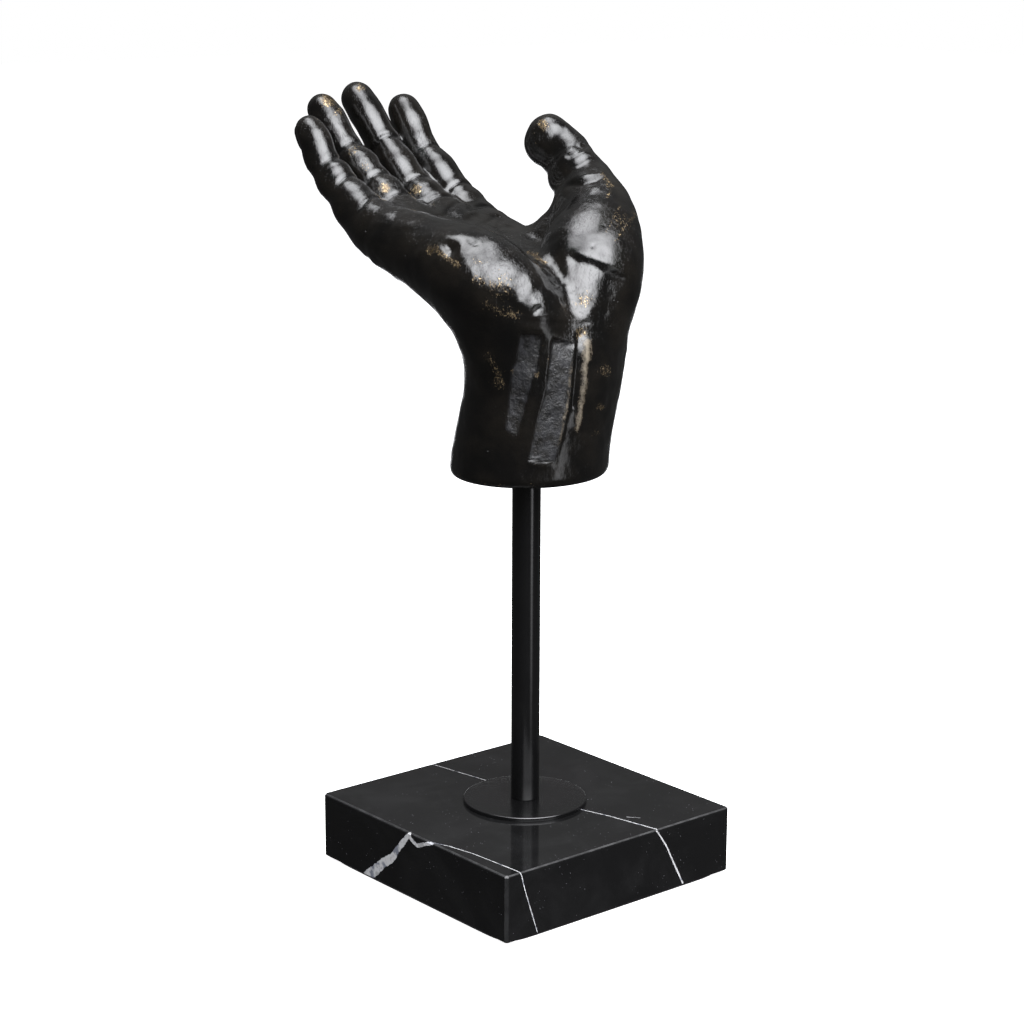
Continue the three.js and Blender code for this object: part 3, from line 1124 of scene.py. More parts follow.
@dataclass
class Lattice:
    """Distances held on a coarse grid and read back through cubic B-splines, which rounds them off."""

    low: Array
    step: float
    values: Array

    @staticmethod
    def weights(t: Array) -> Array:
        """The weights of a uniform cubic B-spline, whose inner two are mirror images, as are its outer two.

        Args:
            t: places between two knots, from 0 to 1.

        Returns:
            Four weights for each, one knot a row.
        """
        rest = 1.0 - t
        second, third = (4.0 - 6.0 * u ** 2 + 3.0 * u ** 3 for u in (t, rest))
        return np.stack([rest ** 3, second, third, t ** 3]) / 6.0

    def read(self, points: Array) -> Array:
        """Reads the distance at any points, as the weighted sum of the 64 knots round each.

        Args:
            points: points in the lattice's units, one a row.

        Returns:
            The distance at each.
        """
        scaled = (points - self.low) / self.step
        cell = np.clip(np.floor(scaled).astype(int), 1, np.array(self.values.shape) - 3)
        x, y, z = (self.weights(t) for t in (scaled - cell).T)
        i, j, k = cell.T - 1
        total = np.zeros(len(points))
        for a, b, c in np.ndindex(4, 4, 4):
            total += x[a] * y[b] * z[c] * self.values[i + a, j + b, k + c]
        return total

    def fine(self, step: float) -> tuple[list[Array], Array]:
        """Reads the distance on a finer grid, through one matrix of weights for each axis.

        Args:
            step: the finer grid's spacing.

        Returns:
            The finer grid's coordinates along each axis, and the distances on it.
        """
        grid, places = self.values, []
        for axis, count in enumerate(self.values.shape):
            scaled = np.arange(1.0, count - 2.0, step / self.step)
            cell = np.floor(scaled).astype(int)
            matrix = np.zeros((len(scaled), count))
            for knot, weight in enumerate(self.weights(scaled - cell)):
                matrix[np.arange(len(scaled)), cell - 1 + knot] = weight
            grid = np.moveaxis(np.tensordot(matrix, grid, (1, axis)), 0, axis)
            places.append(self.low[axis] + scaled * self.step)
        return places, grid


def surface_nets(places: list[Array], grid: Array) -> tuple[Array, Array]:
    """The zero level of a grid as quads.

    One point stands in each cell that the level crosses, at the mean of the crossings on the cell's edges.
    Each grid edge that crosses the level gives the quad of the four cells round it, facing outwards.

    Args:
        places: the grid's coordinates along each axis, evenly spaced.
        grid: the distances, negative inside.

    Returns:
        The points, and the quads as rows of four.
    """
    shape = np.array(grid.shape)
    strides = np.array([shape[1] * shape[2], shape[2], 1])
    cells, spots, outward = [], [], []
    for axis in range(3):
        low = np.take(grid, np.arange(shape[axis] - 1), axis)
        high = np.take(grid, np.arange(1, shape[axis]), axis)
        at = np.argwhere((low < 0) != (high < 0))
        first, second = low[tuple(at.T)], high[tuple(at.T)]
        spot = at.astype(float)
        spot[:, axis] += first / (first - second)
        u, w = strides[(axis + 1) % 3], strides[(axis + 2) % 3]
        home = at @ strides
        cells.append(np.stack([home, home - u, home - u - w, home - w], axis=1))
        spots.append(spot)
        outward.append(first < 0)
    ring, spot, out = np.vstack(cells), np.vstack(spots), np.concatenate(outward)
    _, quads = np.unique(ring, return_inverse=True)
    quads = quads.reshape(-1, 4)
    used = quads.ravel()
    count = np.bincount(used)
    mean = np.stack([np.bincount(used, np.repeat(column, 4)) / count for column in spot.T], axis=1)
    corner = np.array([p[0] for p in places])
    spacing = np.array([p[1] - p[0] for p in places])
    return corner + mean * spacing, np.where(out[:, None], quads, quads[:, ::-1])


# Marks on the hand, placed by pixels of the photograph


@dataclass
class Skin:
    """Points of the hand's surface, in millimetres, with what the marks need to know of each.

    Spots are their pixels, scale the pixels in a millimetre there, and facing 1 where the camera sees them.
    """

    points: Array
    normals: Array
    spots: Array
    scale: Array
    facing: Array


@dataclass(frozen=True)
class Stroke:
    """A groove along a line of pixels, or a ridge where its depth is negative. Sizes are in millimetres."""

    line: Pixels
    half_width: float
    depth: float
    fade: float = 0.08

    def depth_at(self, skin: Skin) -> Array:
        """Depth of the stroke: a bell across the line, fading at its ends.

        Args:
            skin: the hand's surface.

        Returns:
            The depth at each point.
        """
        gap, share = along_line(skin.spots, self.line)
        ends = ramp(share, -0.01, self.fade) * ramp(1.0 - share, -0.01, self.fade)
        across = self.depth * bell(gap / skin.scale, self.half_width)
        return skin.facing * ends * across


@dataclass(frozen=True)
class Ledge:
    """A step down below a line of pixels from left to right, which evens out again.

    Depth, wall and run-out are in millimetres, the fade at both ends in pixels.
    """

    line: Pixels
    depth: float
    wall: float
    runout: float
    fade: float

    def depth_at(self, skin: Skin) -> Array:
        """Depth of the ledge: full just below the line, none above it and none past the run-out.

        Args:
            skin: the hand's surface.

        Returns:
            The depth at each point.
        """
        line = np.asarray(self.line, float)
        x, y = skin.spots.T
        below = (y - np.interp(x, line[:, 0], line[:, 1])) / skin.scale
        ends = ramp(x - line[0, 0], 0.0, self.fade) * ramp(line[-1, 0] - x, 0.0, self.fade)
        drop = self.depth * skin.facing * ends * ramp(below, -self.wall, self.wall)
        return drop * ramp(self.runout - below, 0.0, self.runout)


@dataclass(frozen=True)
class Panel:
    """A sunk panel inside an outline of pixels, with a rough floor. Sizes are in millimetres."""

    outline: Pixels
    depth: float
    low_depth: float
    edge: float = 0.6

    def floor_at(self, skin: Skin) -> Array:
        """Share of the floor: 1 inside, falling to 0 over the edge."""
        inside = -outline_distance(skin.spots, self.outline) / skin.scale
        return skin.facing * ramp(inside, -self.edge, self.edge)

    def depth_at(self, skin: Skin) -> Array:
        """Depth of the floor, which goes evenly from the top's depth to the bottom's.

        Args:
            skin: the hand's surface.

        Returns:
            The depth at each point.
        """
        rows = np.asarray(self.outline)[:, 1]
        share = ramp(skin.spots[:, 1], rows.min(), rows.max())
        return self.floor_at(skin) * (self.depth + (self.low_depth - self.depth) * share)


@dataclass(frozen=True)
class Spot:
    """A round place at a pixel, with a radius in millimetres and a strength or depth."""

    middle: tuple[float, float]
    radius: float
    strength: float

    def share_at(self, skin: Skin) -> Array:
        """Bell round the middle."""
        gap = np.linalg.norm(skin.spots - np.asarray(self.middle), axis=1) / skin.scale
        return skin.facing * bell(gap, self.radius)


@dataclass(frozen=True)
class Tendon:
    """A ridge down the back of the hand along a line of points. Sizes are in millimetres."""

    line: Rows
    half_width: float = 2.2
    height: float = 0.8
    reach: float = 16.0

    def rise_at(self, skin: Skin) -> Array:
        """Height of the ridge: a bell in Y about the nearest place of the line's side view, on the back.

        Args:
            skin: the hand's surface.

        Returns:
            The height at each point.
        """
        line = np.asarray(self.line)
        gap, share = along_line(skin.points[:, [0, 2]], line[:, [0, 2]])
        middle = np.interp(share, np.linspace(0.0, 1.0, len(line)), line[:, 1])
        behind = ramp(-0.6 * skin.normals[:, 0] - 0.8 * skin.normals[:, 2], 0.25, 0.6) * (gap < self.reach)
        ends = ramp(share, 0.0, 0.3) * ramp(share, 1.0, 0.85)
        return self.height * behind * ends * bell(skin.points[:, 1] - middle, self.half_width)


@dataclass(frozen=True)
class PalmLine:
    """A fold in the palm along a line of X and Y, seen from above. Sizes are in millimetres."""

    line: Pairs
    half_width: float = 1.1
    depth: float = 0.75

    def depth_at(self, skin: Skin) -> Array:
        """Bell across the line, on what faces up."""
        gap, _ = along_line(skin.points[:, :2], np.asarray(self.line, float))
        return self.depth * ramp(skin.normals[:, 2], 0.35, 0.7) * bell(gap, self.half_width)


@dataclass
class HandCasting:
    """The hand: one resin casting on the rod, cut flat at the wrist. Sizes are in millimetres.

    Palm, heel, ball, web and bases are sections of the body's limbs. Panels, strokes, ledges, dents and
    palm lines carve the surface, rough places make it more uneven, and rubs, streaks and bare strokes wear
    the finish; the bare strokes are strongest at the strip's top, where they paint a paler tan as a painted
    highlight.
    """

    camera: PhotoCamera
    palm: Rows = (
        (0.0, 0.1, -16.0, 35.6, 32.6), (1.5, 0.6, 6.0, 33.7, 31.5), (4.0, 3.1, 28.0, 32.8, 30.2),
        (5.0, 5.6, 46.0, 34.2, 29.8), (3.5, 5.5, 62.0, 38.4, 27.4), (-12.5, 4.0, 76.0, 38.2, 17.5),
        (-33.0, 3.0, 88.0, 38.0, 11.0), (-58.0, -1.0, 95.5, 36.0, 9.2), (-70.0, -3.0, 100.0, 33.0, 8.0))
    heel: Rows = ((15.5, -14.0, 75.5, 15.0), (-1.5, -24.8, 87.2, 19.6), (-28.0, -29.5, 94.8, 15.6),
                  (-57.0, -33.2, 102.0, 12.2))
    ball: Rows = ((10.0, 16.0, 64.0, 20.0), (11.0, 22.0, 78.0, 22.6), (7.0, 30.5, 92.5, 21.8),
                  (0.0, 41.5, 107.0, 15.2), (-13.0, 46.0, 115.0, 12.6))
    web: Rows = ((-58.0, 28.0, 96.0, 9.5), (-40.0, 34.0, 91.0, 7.5), (-16.0, 39.5, 105.0, 11.0))
    bases: Rows = ((-66.0, -33.0, 104.5, 8.5), (-64.5, -13.0, 101.0, 8.6), (-62.5, 8.0, 98.5, 8.3),
                   (-60.0, 25.0, 94.5, 7.5))
    digits: tuple[Digit, ...] = (
        Digit("thumb",
              ((-6.0, 44.5, 111.0), (-18.4, 48.0, 120.0), (-32.0, 48.8, 132.3), (-44.0, 47.6, 139.9)),
              (12.9, 12.5, 11.3, 10.4), (0.0, -1.0, 0.15), (), wide=1.2, deep=0.83),
        Digit.finger("little", (-74.0, -35.0, 111.5), (17.5, 13.0, 14.4), (38, 46, 55),
                     (10.6, 8.6, 7.7, 7.4), (-5.0, -5.0, -4.5), 5.0),
        Digit.finger("ring", (-73.0, -14.0, 108.0), (20.5, 23.0, 20.6), (37, 39.5, 49),
                     (10.6, 9.4, 8.4, 8.1), (3.0, -2.6, -3.4), -20.0),
        Digit.finger("middle", (-72.0, 8.0, 106.0), (23.0, 23.0, 24.7), (34.5, 46, 49.5),
                     (11.2, 9.5, 8.7, 8.8), (1.6, -4.8, -1.3), -33.0),
        Digit.finger("index", (-70.0, 27.0, 102.0), (23.0, 23.5, 18.7), (41, 42.5, 59),
                     (11.2, 9.5, 8.5, 8.7), (-2.0, -7.0, -4.0), -20.0),
    )
    tendons: tuple[Tendon, ...] = (
        Tendon(((-25, -6, 36), (-24, -9, 60), (-38, -23, 80), (-68, -34, 98))),
        Tendon(((-26, 0, 34), (-26, -2, 60), (-42, -10, 78), (-68, -14, 94)), 2.0, 0.9),
        Tendon(((-26, 5, 34), (-26, 5, 60), (-42, 6, 76), (-66, 8, 91)), 2.2, 1.0),
        Tendon(((-25, 10, 36), (-25, 13, 60), (-40, 20, 76), (-64, 26, 88)), 2.0, 0.9),
        Tendon(((-24, -14, 40), (-27, -8, 58), (-38, -15, 76), (-56, -24, 88)), 1.5, 0.6),
        Tendon(((-22, 22, 44), (-26, 16, 62), (-42, 12, 77), (-60, 17, 88)), 1.4, 0.55),
    )
    palm_lines: tuple[PalmLine, ...] = (
        PalmLine(((-51, 27), (-42, 19), (-31, 12), (-19, 8.5), (-9, 9))),
        PalmLine(((-52, 26), (-45, 11), (-37, -4), (-30, -19)), 1.0, 0.6),
        PalmLine(((-47, -35), (-51, -18), (-54, -3), (-61, 11)), 1.0, 0.65),
    )
    body_blend: float = 9.0
    thumb_blend: float = 7.0
    finger_blend: float = 6.0
    wrist_round: float = 5.0
    socket_radius: float = 6.3
    socket_depth: float = 23.0
    lattice_step: float = 2.0
    mesh_step: float = 0.98
    margin: float = 10.0
    slope_nudge: float = 0.2
    longest_move: float = 0.6
    sight_band: tuple[float, float] = (0.02, 0.22)
    floor_grain: float = 0.18
    floor_grain_size: float = 2.4
    palm_blend: float = 5.0
    ridge_band: tuple[float, float] = (0.05, 0.35)
    ridge_rounds: int = 6
    unseen_wear: float = 0.7
    panels: tuple[Panel, ...] = (
        Panel(((521, 334), (542, 336), (537, 369), (533, 378), (517, 436), (506, 430), (510, 393),
               (512, 371), (517, 359)), 1.2, 0.4),
        Panel(((553, 339), (573, 343), (568, 401), (555, 462), (529, 459), (538, 420), (546, 393)),
              1.4, 0.4),
    )
    strokes: tuple[Stroke, ...] = (
        Stroke(((525, 322), (560, 323.5), (592, 322.5)), 0.8, 0.28),
        Stroke(((521, 332), (541, 333)), 0.8, 0.3),
        Stroke(((580, 330), (577, 365), (573, 412)), 1.1, 1.1),
        Stroke(((590, 334), (586, 380), (578, 433)), 2.4, -0.7),
        Stroke(((526, 463), (540, 466), (555, 465)), 0.8, -0.35),
        Stroke(((573, 343), (568, 401), (555, 460)), 0.9, -0.6),
        Stroke(((536, 372), (530, 400), (522, 452)), 3.0, -0.5, fade=0.2),
        Stroke(((549, 254), (558, 272), (569, 290), (573, 304), (569, 322)), 4.2, 2.4, fade=0.25),
        Stroke(((620, 262), (611, 290), (603, 330)), 4.5, 1.2, fade=0.4),
        Stroke(((466, 238), (473, 243), (481, 240)), 0.7, 0.3, fade=0.3),
        Stroke(((467, 219), (468.5, 214), (474, 212), (480, 213.5)), 0.9, -0.5, fade=0.3),
        Stroke(((533, 314), (542, 305)), 0.75, 0.5, fade=0.3),
        Stroke(((526, 251), (548, 263)), 0.8, 0.4),
        Stroke(((402, 209), (432, 218), (457, 222.5), (481, 226.5), (506, 233.5), (525, 246), (540, 257)),
               1.6, -0.5),
        Stroke(((562, 159), (575, 152), (590, 143)), 1.5, 0.9, fade=0.35),
        Stroke(((573, 147), (580, 143)), 1.0, 0.4, fade=0.4),
        Stroke(((562, 186), (585, 183), (608, 176)), 1.8, 1.0, fade=0.3),
        Stroke(((590, 171), (604, 168)), 1.1, 0.4, fade=0.4),
    )
    ledges: tuple[Ledge, ...] = (
        Ledge(((563, 254.5), (576, 256.5), (590, 260), (602, 265), (618, 272), (636, 281)),
              1.6, 2.3, 24.0, 14.0),
    )
    rough: tuple[Spot, ...] = (
        Spot((500, 300), 11.0, 2.0), Spot((470, 272), 8.0, 2.0), Spot((525, 318), 8.0, 1.2),
        Spot((585, 300), 8.0, 0.6), Spot((440, 255), 6.0, 1.0), Spot((556, 290), 7.0, 1.0),
    )
    dents: tuple[Spot, ...] = (
        Spot((449.5, 248), 2.7, 1.9), Spot((480, 247), 7.0, 1.3), Spot((604, 252), 2.0, 0.3),
        Spot((593, 246), 0.9, 0.4),
    )
    rubs: tuple[Spot, ...] = (
        Spot((329, 99), 4.5, 1.0), Spot((338, 112), 3.0, 0.7), Spot((360, 88), 2.6, 0.8),
        Spot((312, 122), 2.0, 0.3), Spot((353, 150), 3.2, 0.7), Spot((366, 166), 3.0, 0.6),
        Spot((385, 188), 3.4, 0.9), Spot((417, 190), 3.4, 0.8), Spot((432, 203), 2.6, 0.5),
        Spot((407, 98), 2.0, 0.35), Spot((546, 127), 2.4, 0.6), Spot((571, 152), 2.0, 0.4),
        Spot((609, 184), 4.0, 0.5), Spot((622, 222), 8.0, 0.5), Spot((635, 212), 4.0, 0.5),
        Spot((500, 285), 9.0, 0.55), Spot((478, 262), 5.0, 0.5), Spot((431, 250), 2.6, 0.9),
        Spot((585, 300), 6.0, 0.6), Spot((583, 333), 4.0, 0.7), Spot((605, 371), 3.6, 0.72),
        Spot((601, 407), 2.4, 0.75), Spot((597, 434), 3.0, 0.5), Spot((496, 382), 4.0, 0.5),
        Spot((513, 372), 1.6, 0.7), Spot((537, 375), 1.6, 0.8), Spot((537, 257), 3.0, 0.6),
    )
    # The wrist's bare strip; the strongest, top stroke paints the paler tan there as a painted highlight.
    bare: tuple[Stroke, ...] = (
        Stroke(((587, 338), (586, 362)), 2.1, 0.95),
        Stroke(((586, 345), (584, 380), (576, 436)), 1.7, 0.72),
        Stroke(((573, 350), (568, 401), (555, 460)), 0.9, 0.62, fade=0.2),
    )
    streaks: tuple[Stroke, ...] = (
        Stroke(((526, 251), (548, 263)), 0.9, 0.9),
        Stroke(((604, 236), (616, 212), (622, 206)), 0.9, 0.6),
        Stroke(((612, 246), (628, 222), (640, 210)), 1.0, 0.6),
        Stroke(((600, 171), (612, 186), (606, 200)), 1.3, 0.65),
        Stroke(((470, 277), (492, 284), (514, 292)), 3.8, 0.55),
        Stroke(((433, 246), (444, 256), (462, 268)), 2.0, 0.75),
        Stroke(((482, 300), (500, 312), (524, 318)), 3.5, 0.55),
        Stroke(((485, 350), (497, 372), (503, 392)), 3.0, 0.55),
        Stroke(((548, 124), (541, 122), (546, 132)), 2.0, 0.8),
    )

    def body(self, points: Array) -> Array:
        """Distance to the palm with the wrist, the heel, the ball, the web and the fingers' bases, blended.

        Args:
            points: points to measure, one a row.

        Returns:
            The distance at each, negative inside.
        """
        limbs = [Limb(row) for row in (self.heel, self.ball, self.web)]
        limbs.append(Limb(self.bases, across=(1.0, 0.0, 0.0)))
        found = Limb(self.palm, blend=self.palm_blend, steps=2).field(points)
        for limb in limbs:
            near = limb.near(points)
            found[near] = smooth_min(found[near], limb.field(points[near]), self.body_blend)
        return found

    def blank(self, points: Array) -> Array:
        """Distance to the hand before its wrist is cut: digits blend with the body, not with each other.

        Args:
            points: points to measure, one a row.

        Returns:
            The distance at each, negative inside.
        """
        body = self.body(points)
        found = body.copy()
        for digit in self.digits:
            near = digit.core.near(points)
            reach = self.thumb_blend if digit.name == "thumb" else self.finger_blend
            joined = smooth_min(body[near], digit.field(points[near]), reach)
            found[near] = np.minimum(found[near], joined)
        return found

    def lattice(self) -> Lattice:
        """Holds the blank on a coarse grid over the CAD solid's box, with a margin.

        Returns:
            The grid of distances.
        """
        low, high = self.box()
        low, high = low - self.margin, high + self.margin
        axes = [np.arange(a, b, self.lattice_step) for a, b in zip(low, high)]
        grid = np.stack(np.meshgrid(*axes, indexing="ij"), axis=-1)
        return Lattice(low, self.lattice_step, self.blank(grid.reshape(-1, 3)).reshape(grid.shape[:3]))

    def box(self) -> tuple[Array, Array]:
        """The CAD solid's box, in millimetres from the wrist's cut face."""
        low, high = (np.array(corner) - self.lift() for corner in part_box("hand"))
        return low / MM, high / MM

    @staticmethod
    def lift() -> Array:
        """Shift from the table to the wrist's cut face, in metres."""
        return np.array([0.0, 0.0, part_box("hand")[0].z])

    def cut(self, distance: Array, x: Array, y: Array, z: Array) -> Array:
        """Cuts the blank flat at the wrist with a rounded edge, and sinks the socket for the insert.

        Args:
            distance: distance to the blank.
            x: where that is, in arrays that go with the distance.
            y: the same.
            z: the same, from the wrist's cut face.

        Returns:
            The distance to the cut hand.
        """
        flat = smooth_max(distance, -z, self.wrist_round)
        socket = np.maximum(np.hypot(x, y) - self.socket_radius, z - self.socket_depth)
        return np.maximum(flat, -socket)

    def surface(self) -> tuple[Array, Array, Array]:
        """Meshes the smooth hand: the net's points are moved down the slope onto the zero level.

        Returns:
            Points, faces and normals.
        """
        lattice = self.lattice()
        places, grid = lattice.fine(self.mesh_step)
        x, y, z = np.meshgrid(*places, indexing="ij", sparse=True)
        points, faces = surface_nets(places, self.cut(grid, x, y, z))

        def solid(at: Array) -> Array:
            """Distance to the cut hand."""
            return self.cut(lattice.read(at), *at.T)

        nudges = self.slope_nudge * np.eye(3)
        for _ in range(2):
            slope = np.stack([solid(points + nudge) - solid(points - nudge) for nudge in nudges], axis=1)
            slope /= 2 * self.slope_nudge
            steep = np.maximum((slope ** 2).sum(1, keepdims=True), 0.05)
            off = np.clip(solid(points), -self.longest_move, self.longest_move)
            points = points - off[:, None] * slope / steep
        return points, faces, slope / np.linalg.norm(slope, axis=1, keepdims=True)

    def skin(self, points: Array, normals: Array) -> Skin:
        """Works out what the marks need to know of each point.

        Args:
            points: points of the smooth hand, one a row.
            normals: its normals there.

        Returns:
            The points with their pixels, scale and facing.
        """
        at = points * MM + self.lift()
        spots, scale = self.camera.pixels(at)
        sight = self.camera.eye() - at
        sight /= np.linalg.norm(sight, axis=1, keepdims=True)
        return Skin(points, normals, spots, scale, ramp((normals * sight).sum(1), *self.sight_band))

    def carve(self, skin: Skin) -> tuple[Array, Array, Array]:
        """Adds up the depths of all marks and of the uneven surface.

        Args:
            skin: the hand's surface.

        Returns:
            The depth at each point, and the shares of cut floor and of painted crease shade there.
        """
        depth = np.zeros(len(skin.points))
        for digit in self.digits:
            near = digit.core.near(skin.points, 2.0)
            spots = skin.points[near]
            depth[near] += digit.crease_depth(spots) + digit.wrinkle_depth(spots) + digit.nail_depth(spots)
        # Painted shade: the depth of the finger creases, wrinkles and nail groove, which the lacquer paints
        # black.
        crease_shade = ramp(depth, 0.2, 0.8)
        for stroke in self.strokes:
            depth += stroke.depth_at(skin)
        for dent in self.dents:
            depth += dent.strength * dent.share_at(skin)
        for tendon in self.tendons:
            depth -= tendon.rise_at(skin)
        for mark in (*self.palm_lines, *self.ledges):
            depth += mark.depth_at(skin)
        floor = np.zeros(len(depth))
        for panel in self.panels:
            share = panel.floor_at(skin)
            grain = value_noise(skin.points, self.floor_grain_size, 7)
            depth += panel.depth_at(skin) + share * self.floor_grain * grain
            floor = np.maximum(floor, share)
        uneven = sum((spot.strength * spot.share_at(skin) for spot in self.rough), np.ones(len(depth)))
        return depth + uneven * self.hammered(skin.points), floor, crease_shade

    @staticmethod
    def hammered(points: Array) -> Array:
        """Depth of the uneven surface: noise of four sizes, the finer three strong only in places.

        Args:
            points: points of the hand, one a row.

        Returns:
            The depth at each, which fades to none at the wrist's cut face.
        """
        busy = 0.35 + 0.65 * ramp(value_noise(points, 21.0, 3), -0.35, 0.45)
        finer = ((0.26, 6.0, 2), (0.15, 3.2, 4), (0.05, 2.0, 6))
        fine = sum(share * value_noise(points, size, seed) for share, size, seed in finer)
        return (0.34 * value_noise(points, 13.0, 1) + busy * fine) * ramp(points[:, 2], 1.0, 8.0)

    def wear(self, skin: Skin, points: Array, faces: Array) -> Array:
        """How far the lacquer is rubbed: on ridges, at the marked places and, out of sight, in patches.

        Args:
            skin: the smooth hand's surface.
            points: the carved hand's points.
            faces: its faces.

        Returns:
            The rub at each point, from 0 to 1.
        """
        ridge = self.ridges(points, faces, skin.normals)
        rub = ramp(ridge, *self.ridge_band) * (0.30 + 0.20 * value_noise(points, 18.0, 5))
        for spot in self.rubs:
            rub = np.maximum(rub, spot.strength * spot.share_at(skin))
        for streak in self.streaks:
            rub = np.maximum(rub, streak.depth_at(skin))
        patches = ramp(value_noise(points, 22.0, 8), 0.25, 0.6)
        patches = patches * ramp(value_noise(points, 6.0, 9), -0.2, 0.4)
        return np.maximum(rub, self.unseen_wear * patches * (1.0 - skin.facing))

    def build(self, material: bpy.types.Material) -> None:
        """Makes the hand and lets it stand for the CAD solid.

        Args:
            material: its finish, which reads the rub, cut, crease_shade and bare numbers; crease_shade is
                painted shade in the creases, and bare paints a paler top as a painted highlight.
        """
        points, faces, normals = self.surface()
        skin = self.skin(points, normals)
        depth, floor, crease_shade = self.carve(skin)
        points = points - normals * depth[:, None]
        rub = self.wear(skin, points, faces)
        bare = np.max([stroke.depth_at(skin) for stroke in self.bare], axis=0)
        numbers = {"rub": rub, "cut": floor, "crease_shade": crease_shade, "bare": bare}
        made = Patch(points * MM + self.lift(), faces, numbers).piece("hand_casting", material)
        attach(made, Body.HAND.value)
        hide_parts("hand")
        log.info("hand_casting stands for hand: %d points, %d faces", len(points), len(faces))

    def ridges(self, points: Array, faces: Array, normals: Array) -> Array:
        """Finds the ridges: how far each point stands proud of the surface smoothed over the mesh.

        Args:
            points: points of the hand, one a row.
            faces: its quads.
            normals: its normals.

        Returns:
            The height at each point.
        """
        pairs = np.vstack([faces[:, [0, 1]], faces[:, [1, 2]], faces[:, [2, 3]], faces[:, [3, 0]]])
        count = np.bincount(pairs[:, 0], minlength=len(points))[:, None]

        def around(values: Array) -> Array:
            """Mean over the neighbours."""
            total = [np.bincount(pairs[:, 0], column[pairs[:, 1]], len(points)) for column in values.T]
            return np.stack(total, axis=1) / np.maximum(count, 1)

        smooth = points
        for _ in range(self.ridge_rounds):
            smooth = around(smooth)
        return ((points - smooth) * normals).sum(1)


@dataclass
class Stand:
    """Slab, felt, disc, tube and the fasteners that hold them. Sizes are in metres."""

    sides: int = 128
    disc_round: float = 0.0005
    tube_round: float = 0.0004
    edge_round: float = 0.0002
    felt_legs: int = 256
    felt_square: int = 16
    felt_edge: float = 0.3

    def lathe(self, name: str, node: str, bore: float, radii: tuple[float, ...],
              material: bpy.types.Material) -> None:
        """Turns a bored round piece that stands for a CAD node and fills the same space.

        Args:
            name: the piece.
            node: the CAD node.
            bore: radius of its bore.
            radii: rounding at the inner lower, outer lower, outer upper and inner upper edge.
            material: its finish.
        """
        low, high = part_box(node)
        outer = (high.x - low.x) / 2
        corners = ((bore, low.z), (outer, low.z), (outer, high.z), (bore, high.z))
        made = turned(rounded(corners, radii), self.sides).piece(name, material)
        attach(made, Body.STAND.value)
        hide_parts(node)
        log.info("%s stands for %s", name, node)

    def felt(self, material: bpy.types.Material) -> None:
        """Makes the felt sheet: rings of a superellipse below, round the soft edge and above.

        Args:
            material: its finish.
        """
        low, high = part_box("felt_pad")
        half, thick = (high.x - low.x) / 2, high.z - low.z
        legs, power = self.felt_legs, self.felt_square
        angle = np.linspace(0.0, 2.0 * math.pi, legs, endpoint=False)
        around = np.stack([np.cos(angle), np.sin(angle)], axis=1)
        squared = around / (np.abs(around) ** power).sum(1, keepdims=True) ** (1 / power)
        edge = thick * self.felt_edge
        bend = edge * self.felt_edge
        inset = np.array([half, half * 0.5, edge, bend, 0.0, 0.0, bend, edge, half * 0.5, half])
        height = np.array([0.0, 0.0, 0.0, bend, edge, thick - edge, thick - bend, thick, thick, thick])
        flat = squared[None] * (half - inset)[:, None, None]
        level = np.broadcast_to((low.z + height)[:, None, None], (len(inset), legs, 1))
        rings = np.concatenate([flat, level], axis=2)
        i, j = np.meshgrid(np.arange(len(inset) - 1), np.arange(legs), indexing="ij")
        here, above, right = i * legs, (i + 1) * legs, (j + 1) % legs
        faces = np.stack([here + j, here + right, above + right, above + j], axis=-1)
        made = Patch(rings.reshape(-1, 3), faces.reshape(-1, 4)).piece("felt_sheet", material)
        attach(made, Body.STAND.value)
        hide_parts("felt_pad")
        log.info("felt_sheet stands for felt_pad")

    def build(self, finishes: dict[Slot, bpy.types.Material]) -> None:
        """Makes the turned pieces and the felt, and dresses the CAD nodes that stay.

        Args:
            finishes: the material of each slot.
        """
        bore = self.bore()
        black = finishes[Slot.BLACK_STEEL]
        fine, disc, tube = self.edge_round, self.disc_round, self.tube_round
        self.lathe("foot_disc", "base_disc", bore, (fine, fine, disc, fine), black)
        self.lathe("stand_tube", "support_tube", bore, (fine, tube, tube, fine), black)
        self.felt(finishes[Slot.FELT])
        for row in frame["record"]["subparts"]:
            node = frame["nodes"][row["node"]]
            node.data.materials.clear()
            node.data.materials.append(finishes[Slot(row["material_slot"])])
            log.info("%s dressed as %s", row["node"], row["material_slot"])

    @staticmethod
    def bore() -> float:
        """Radius of the bore round the tie rod, from the CAD tube's inner wall."""
        points = np.array([v.co for v in frame["nodes"]["support_tube"].data.vertices])
        return float(np.hypot(points[:, 0], points[:, 1]).min())


@dataclass(frozen=True)
class SoftBox:
    """A soft box that faces the object, with its azimuth in degrees to the right of the camera."""

    name: str
    azimuth: float
    elevation: float
    size: tuple[float, float]
    radiance: float
    distance: float = 1.3
    falloff: float = 0.8


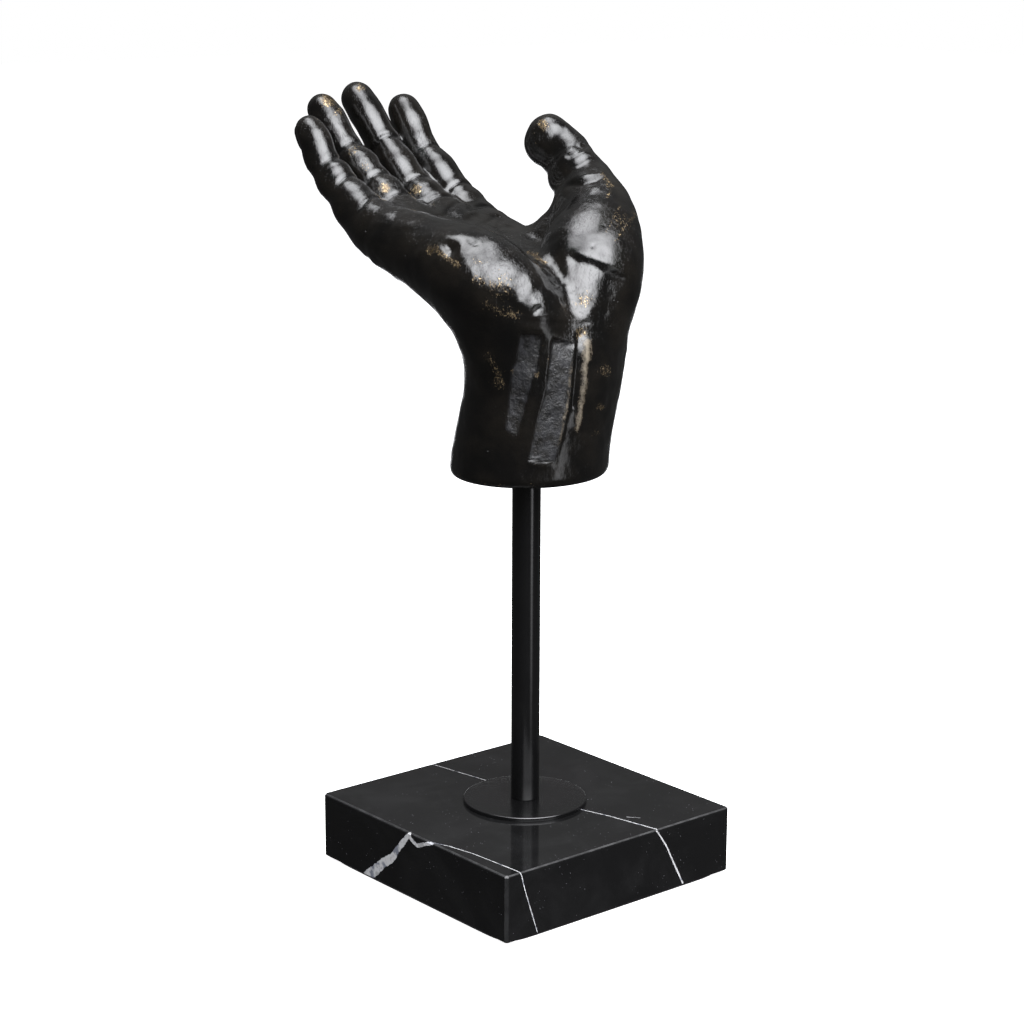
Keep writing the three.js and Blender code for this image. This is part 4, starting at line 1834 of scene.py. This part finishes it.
@dataclass
class Studio:
    """White floor and background, a dim room, and soft boxes in front, above, behind and low at the side."""

    camera: PhotoCamera
    middle: Triple = (-0.01, 0.0, 0.26)
    boxes: tuple[SoftBox, ...] = (
        SoftBox("main_light", 22.0, 45.0, (2.15, 1.70), 13.0),
        SoftBox("overhead_light", -100.0, 80.0, (1.10, 1.10), 8.5),
        SoftBox("rear_light", 180.0, -14.0, (0.90, 0.45), 3.0),
        SoftBox("low_light", 46.0, -11.0, (0.38, 0.85), 1.9),
    )
    floor_reach: float = 6.0
    glow: float = 0.052
    right_glow: float = 0.008
    rear_glow: float = 0.75
    tint: Triple = (0.96, 0.97, 1.0)

    def soft_box(self, box: SoftBox) -> None:
        """Hangs a soft box, brightest in the middle: a power of the parabolas along its sides.

        Args:
            box: the soft box.
        """
        at = self.towards(box.azimuth, box.elevation, box.distance)
        data = bpy.data.lights.new(box.name, "AREA")
        data.shape = "RECTANGLE"
        data.size, data.size_y = box.size
        data.energy = box.radiance * math.pi * box.size[0] * box.size[1]
        data.color = self.tint
        data.use_nodes = True
        graph = Graph(data.node_tree)
        spot = graph.node("ShaderNodeNewGeometry", out="Parametric")
        u, v = graph.parts(spot, "XY")
        share = (u * (1.0 - u) * v * (1.0 - v) * 16.0) ** box.falloff
        graph.put(data.node_tree.nodes["Emission"].inputs["Strength"], share)
        lamp = bpy.data.objects.new(box.name, data)
        lamp.location = at
        lamp.rotation_mode = "QUATERNION"
        lamp.rotation_quaternion = (Vector(self.middle) - Vector(at)).to_track_quat("-Z", "Y")
        lamp.visible_camera = False
        bpy.context.scene.collection.objects.link(lamp)

    def towards(self, azimuth: float, elevation: float, distance: float) -> Array:
        """Finds a place seen from the object's middle.

        Args:
            azimuth: degrees to the right of the camera.
            elevation: degrees above level.
            distance: metres from the middle.

        Returns:
            The place, in metres.
        """
        a, e = math.radians(self.camera.azimuth + azimuth), math.radians(elevation)
        way = np.array([math.sin(a) * math.cos(e), -math.cos(a) * math.cos(e), math.sin(e)])
        return np.asarray(self.middle) + distance * way

    def world(self) -> None:
        """Makes the world: white to the camera, and to all else a dim room, brighter high up behind."""
        world = bpy.data.worlds.new("studio")
        world.use_nodes = True
        bpy.context.scene.world = world
        graph = Graph(world.node_tree)
        seen = graph.node("ShaderNodeLightPath", out="Is Camera Ray")
        back = world.node_tree.nodes["Background"]
        graph.put(back.inputs["Color"], (1.0, 1.0, 1.0))
        way = graph.node("ShaderNodeTexCoord", out="Generated")
        right, _, front = self.camera.axes()
        side, rear, rise = (graph.vector("DOT_PRODUCT", way, tuple(axis), "Value")
                            for axis in (right, -front, (0.0, 0.0, 1.0)))
        behind, above = rear.most(0.0), rise.most(0.0)
        room = side * self.right_glow + behind * above * above * self.rear_glow + self.glow
        graph.put(back.inputs["Strength"], seen.most(room))

    def floor(self) -> None:
        """Lays a pale floor that glows enough to stay white, and that the object's gloss doesn't mirror."""
        graph = FinishGraph("studio_floor")
        graph.set(Base_Color=(0.8, 0.8, 0.8), Roughness=0.9, Specular_IOR_Level=0.0,
                  Emission_Color=(1.0, 1.0, 1.0), Emission_Strength=1.0)
        corners = self.floor_reach * np.array([(-1, -1, 0), (1, -1, 0), (1, 1, 0), (-1, 1, 0)])
        made = Patch(corners, np.array([[0, 1, 2, 3]])).piece("studio_floor", graph.material, False)
        made.visible_glossy = False
        made.visible_diffuse = False

    def build(self) -> None:
        """Makes floor, world and lights, with plain colour."""
        bpy.context.scene.view_settings.view_transform = "Standard"
        self.world()
        self.floor()
        for box in self.boxes:
            self.soft_box(box)


def main() -> None:
    """Builds the studio, the stand and the hand."""
    logging.basicConfig(level=logging.INFO, format="%(name)s: %(message)s")
    camera = PhotoCamera()
    camera.build()
    Studio(camera).build()
    finishes = {
        Slot.MARBLE: VeinedMarble().material(),
        Slot.BLACK_STEEL: SatinBlack().material(),
        Slot.ZINC_STEEL: PlatedMetal("zinc_plate", (0.55, 0.56, 0.58), (0.40, 0.41, 0.44)).material(),
        Slot.BRASS: PlatedMetal("turned_brass", (0.66, 0.46, 0.18), (0.42, 0.28, 0.10)).material(),
        Slot.FELT: PressedFelt().material(),
        Slot.RESIN: LacqueredBronze().material(),
    }
    Stand().build(finishes)
    HandCasting(camera).build(finishes[Slot.RESIN])


if __name__ == "__main__":
    main()
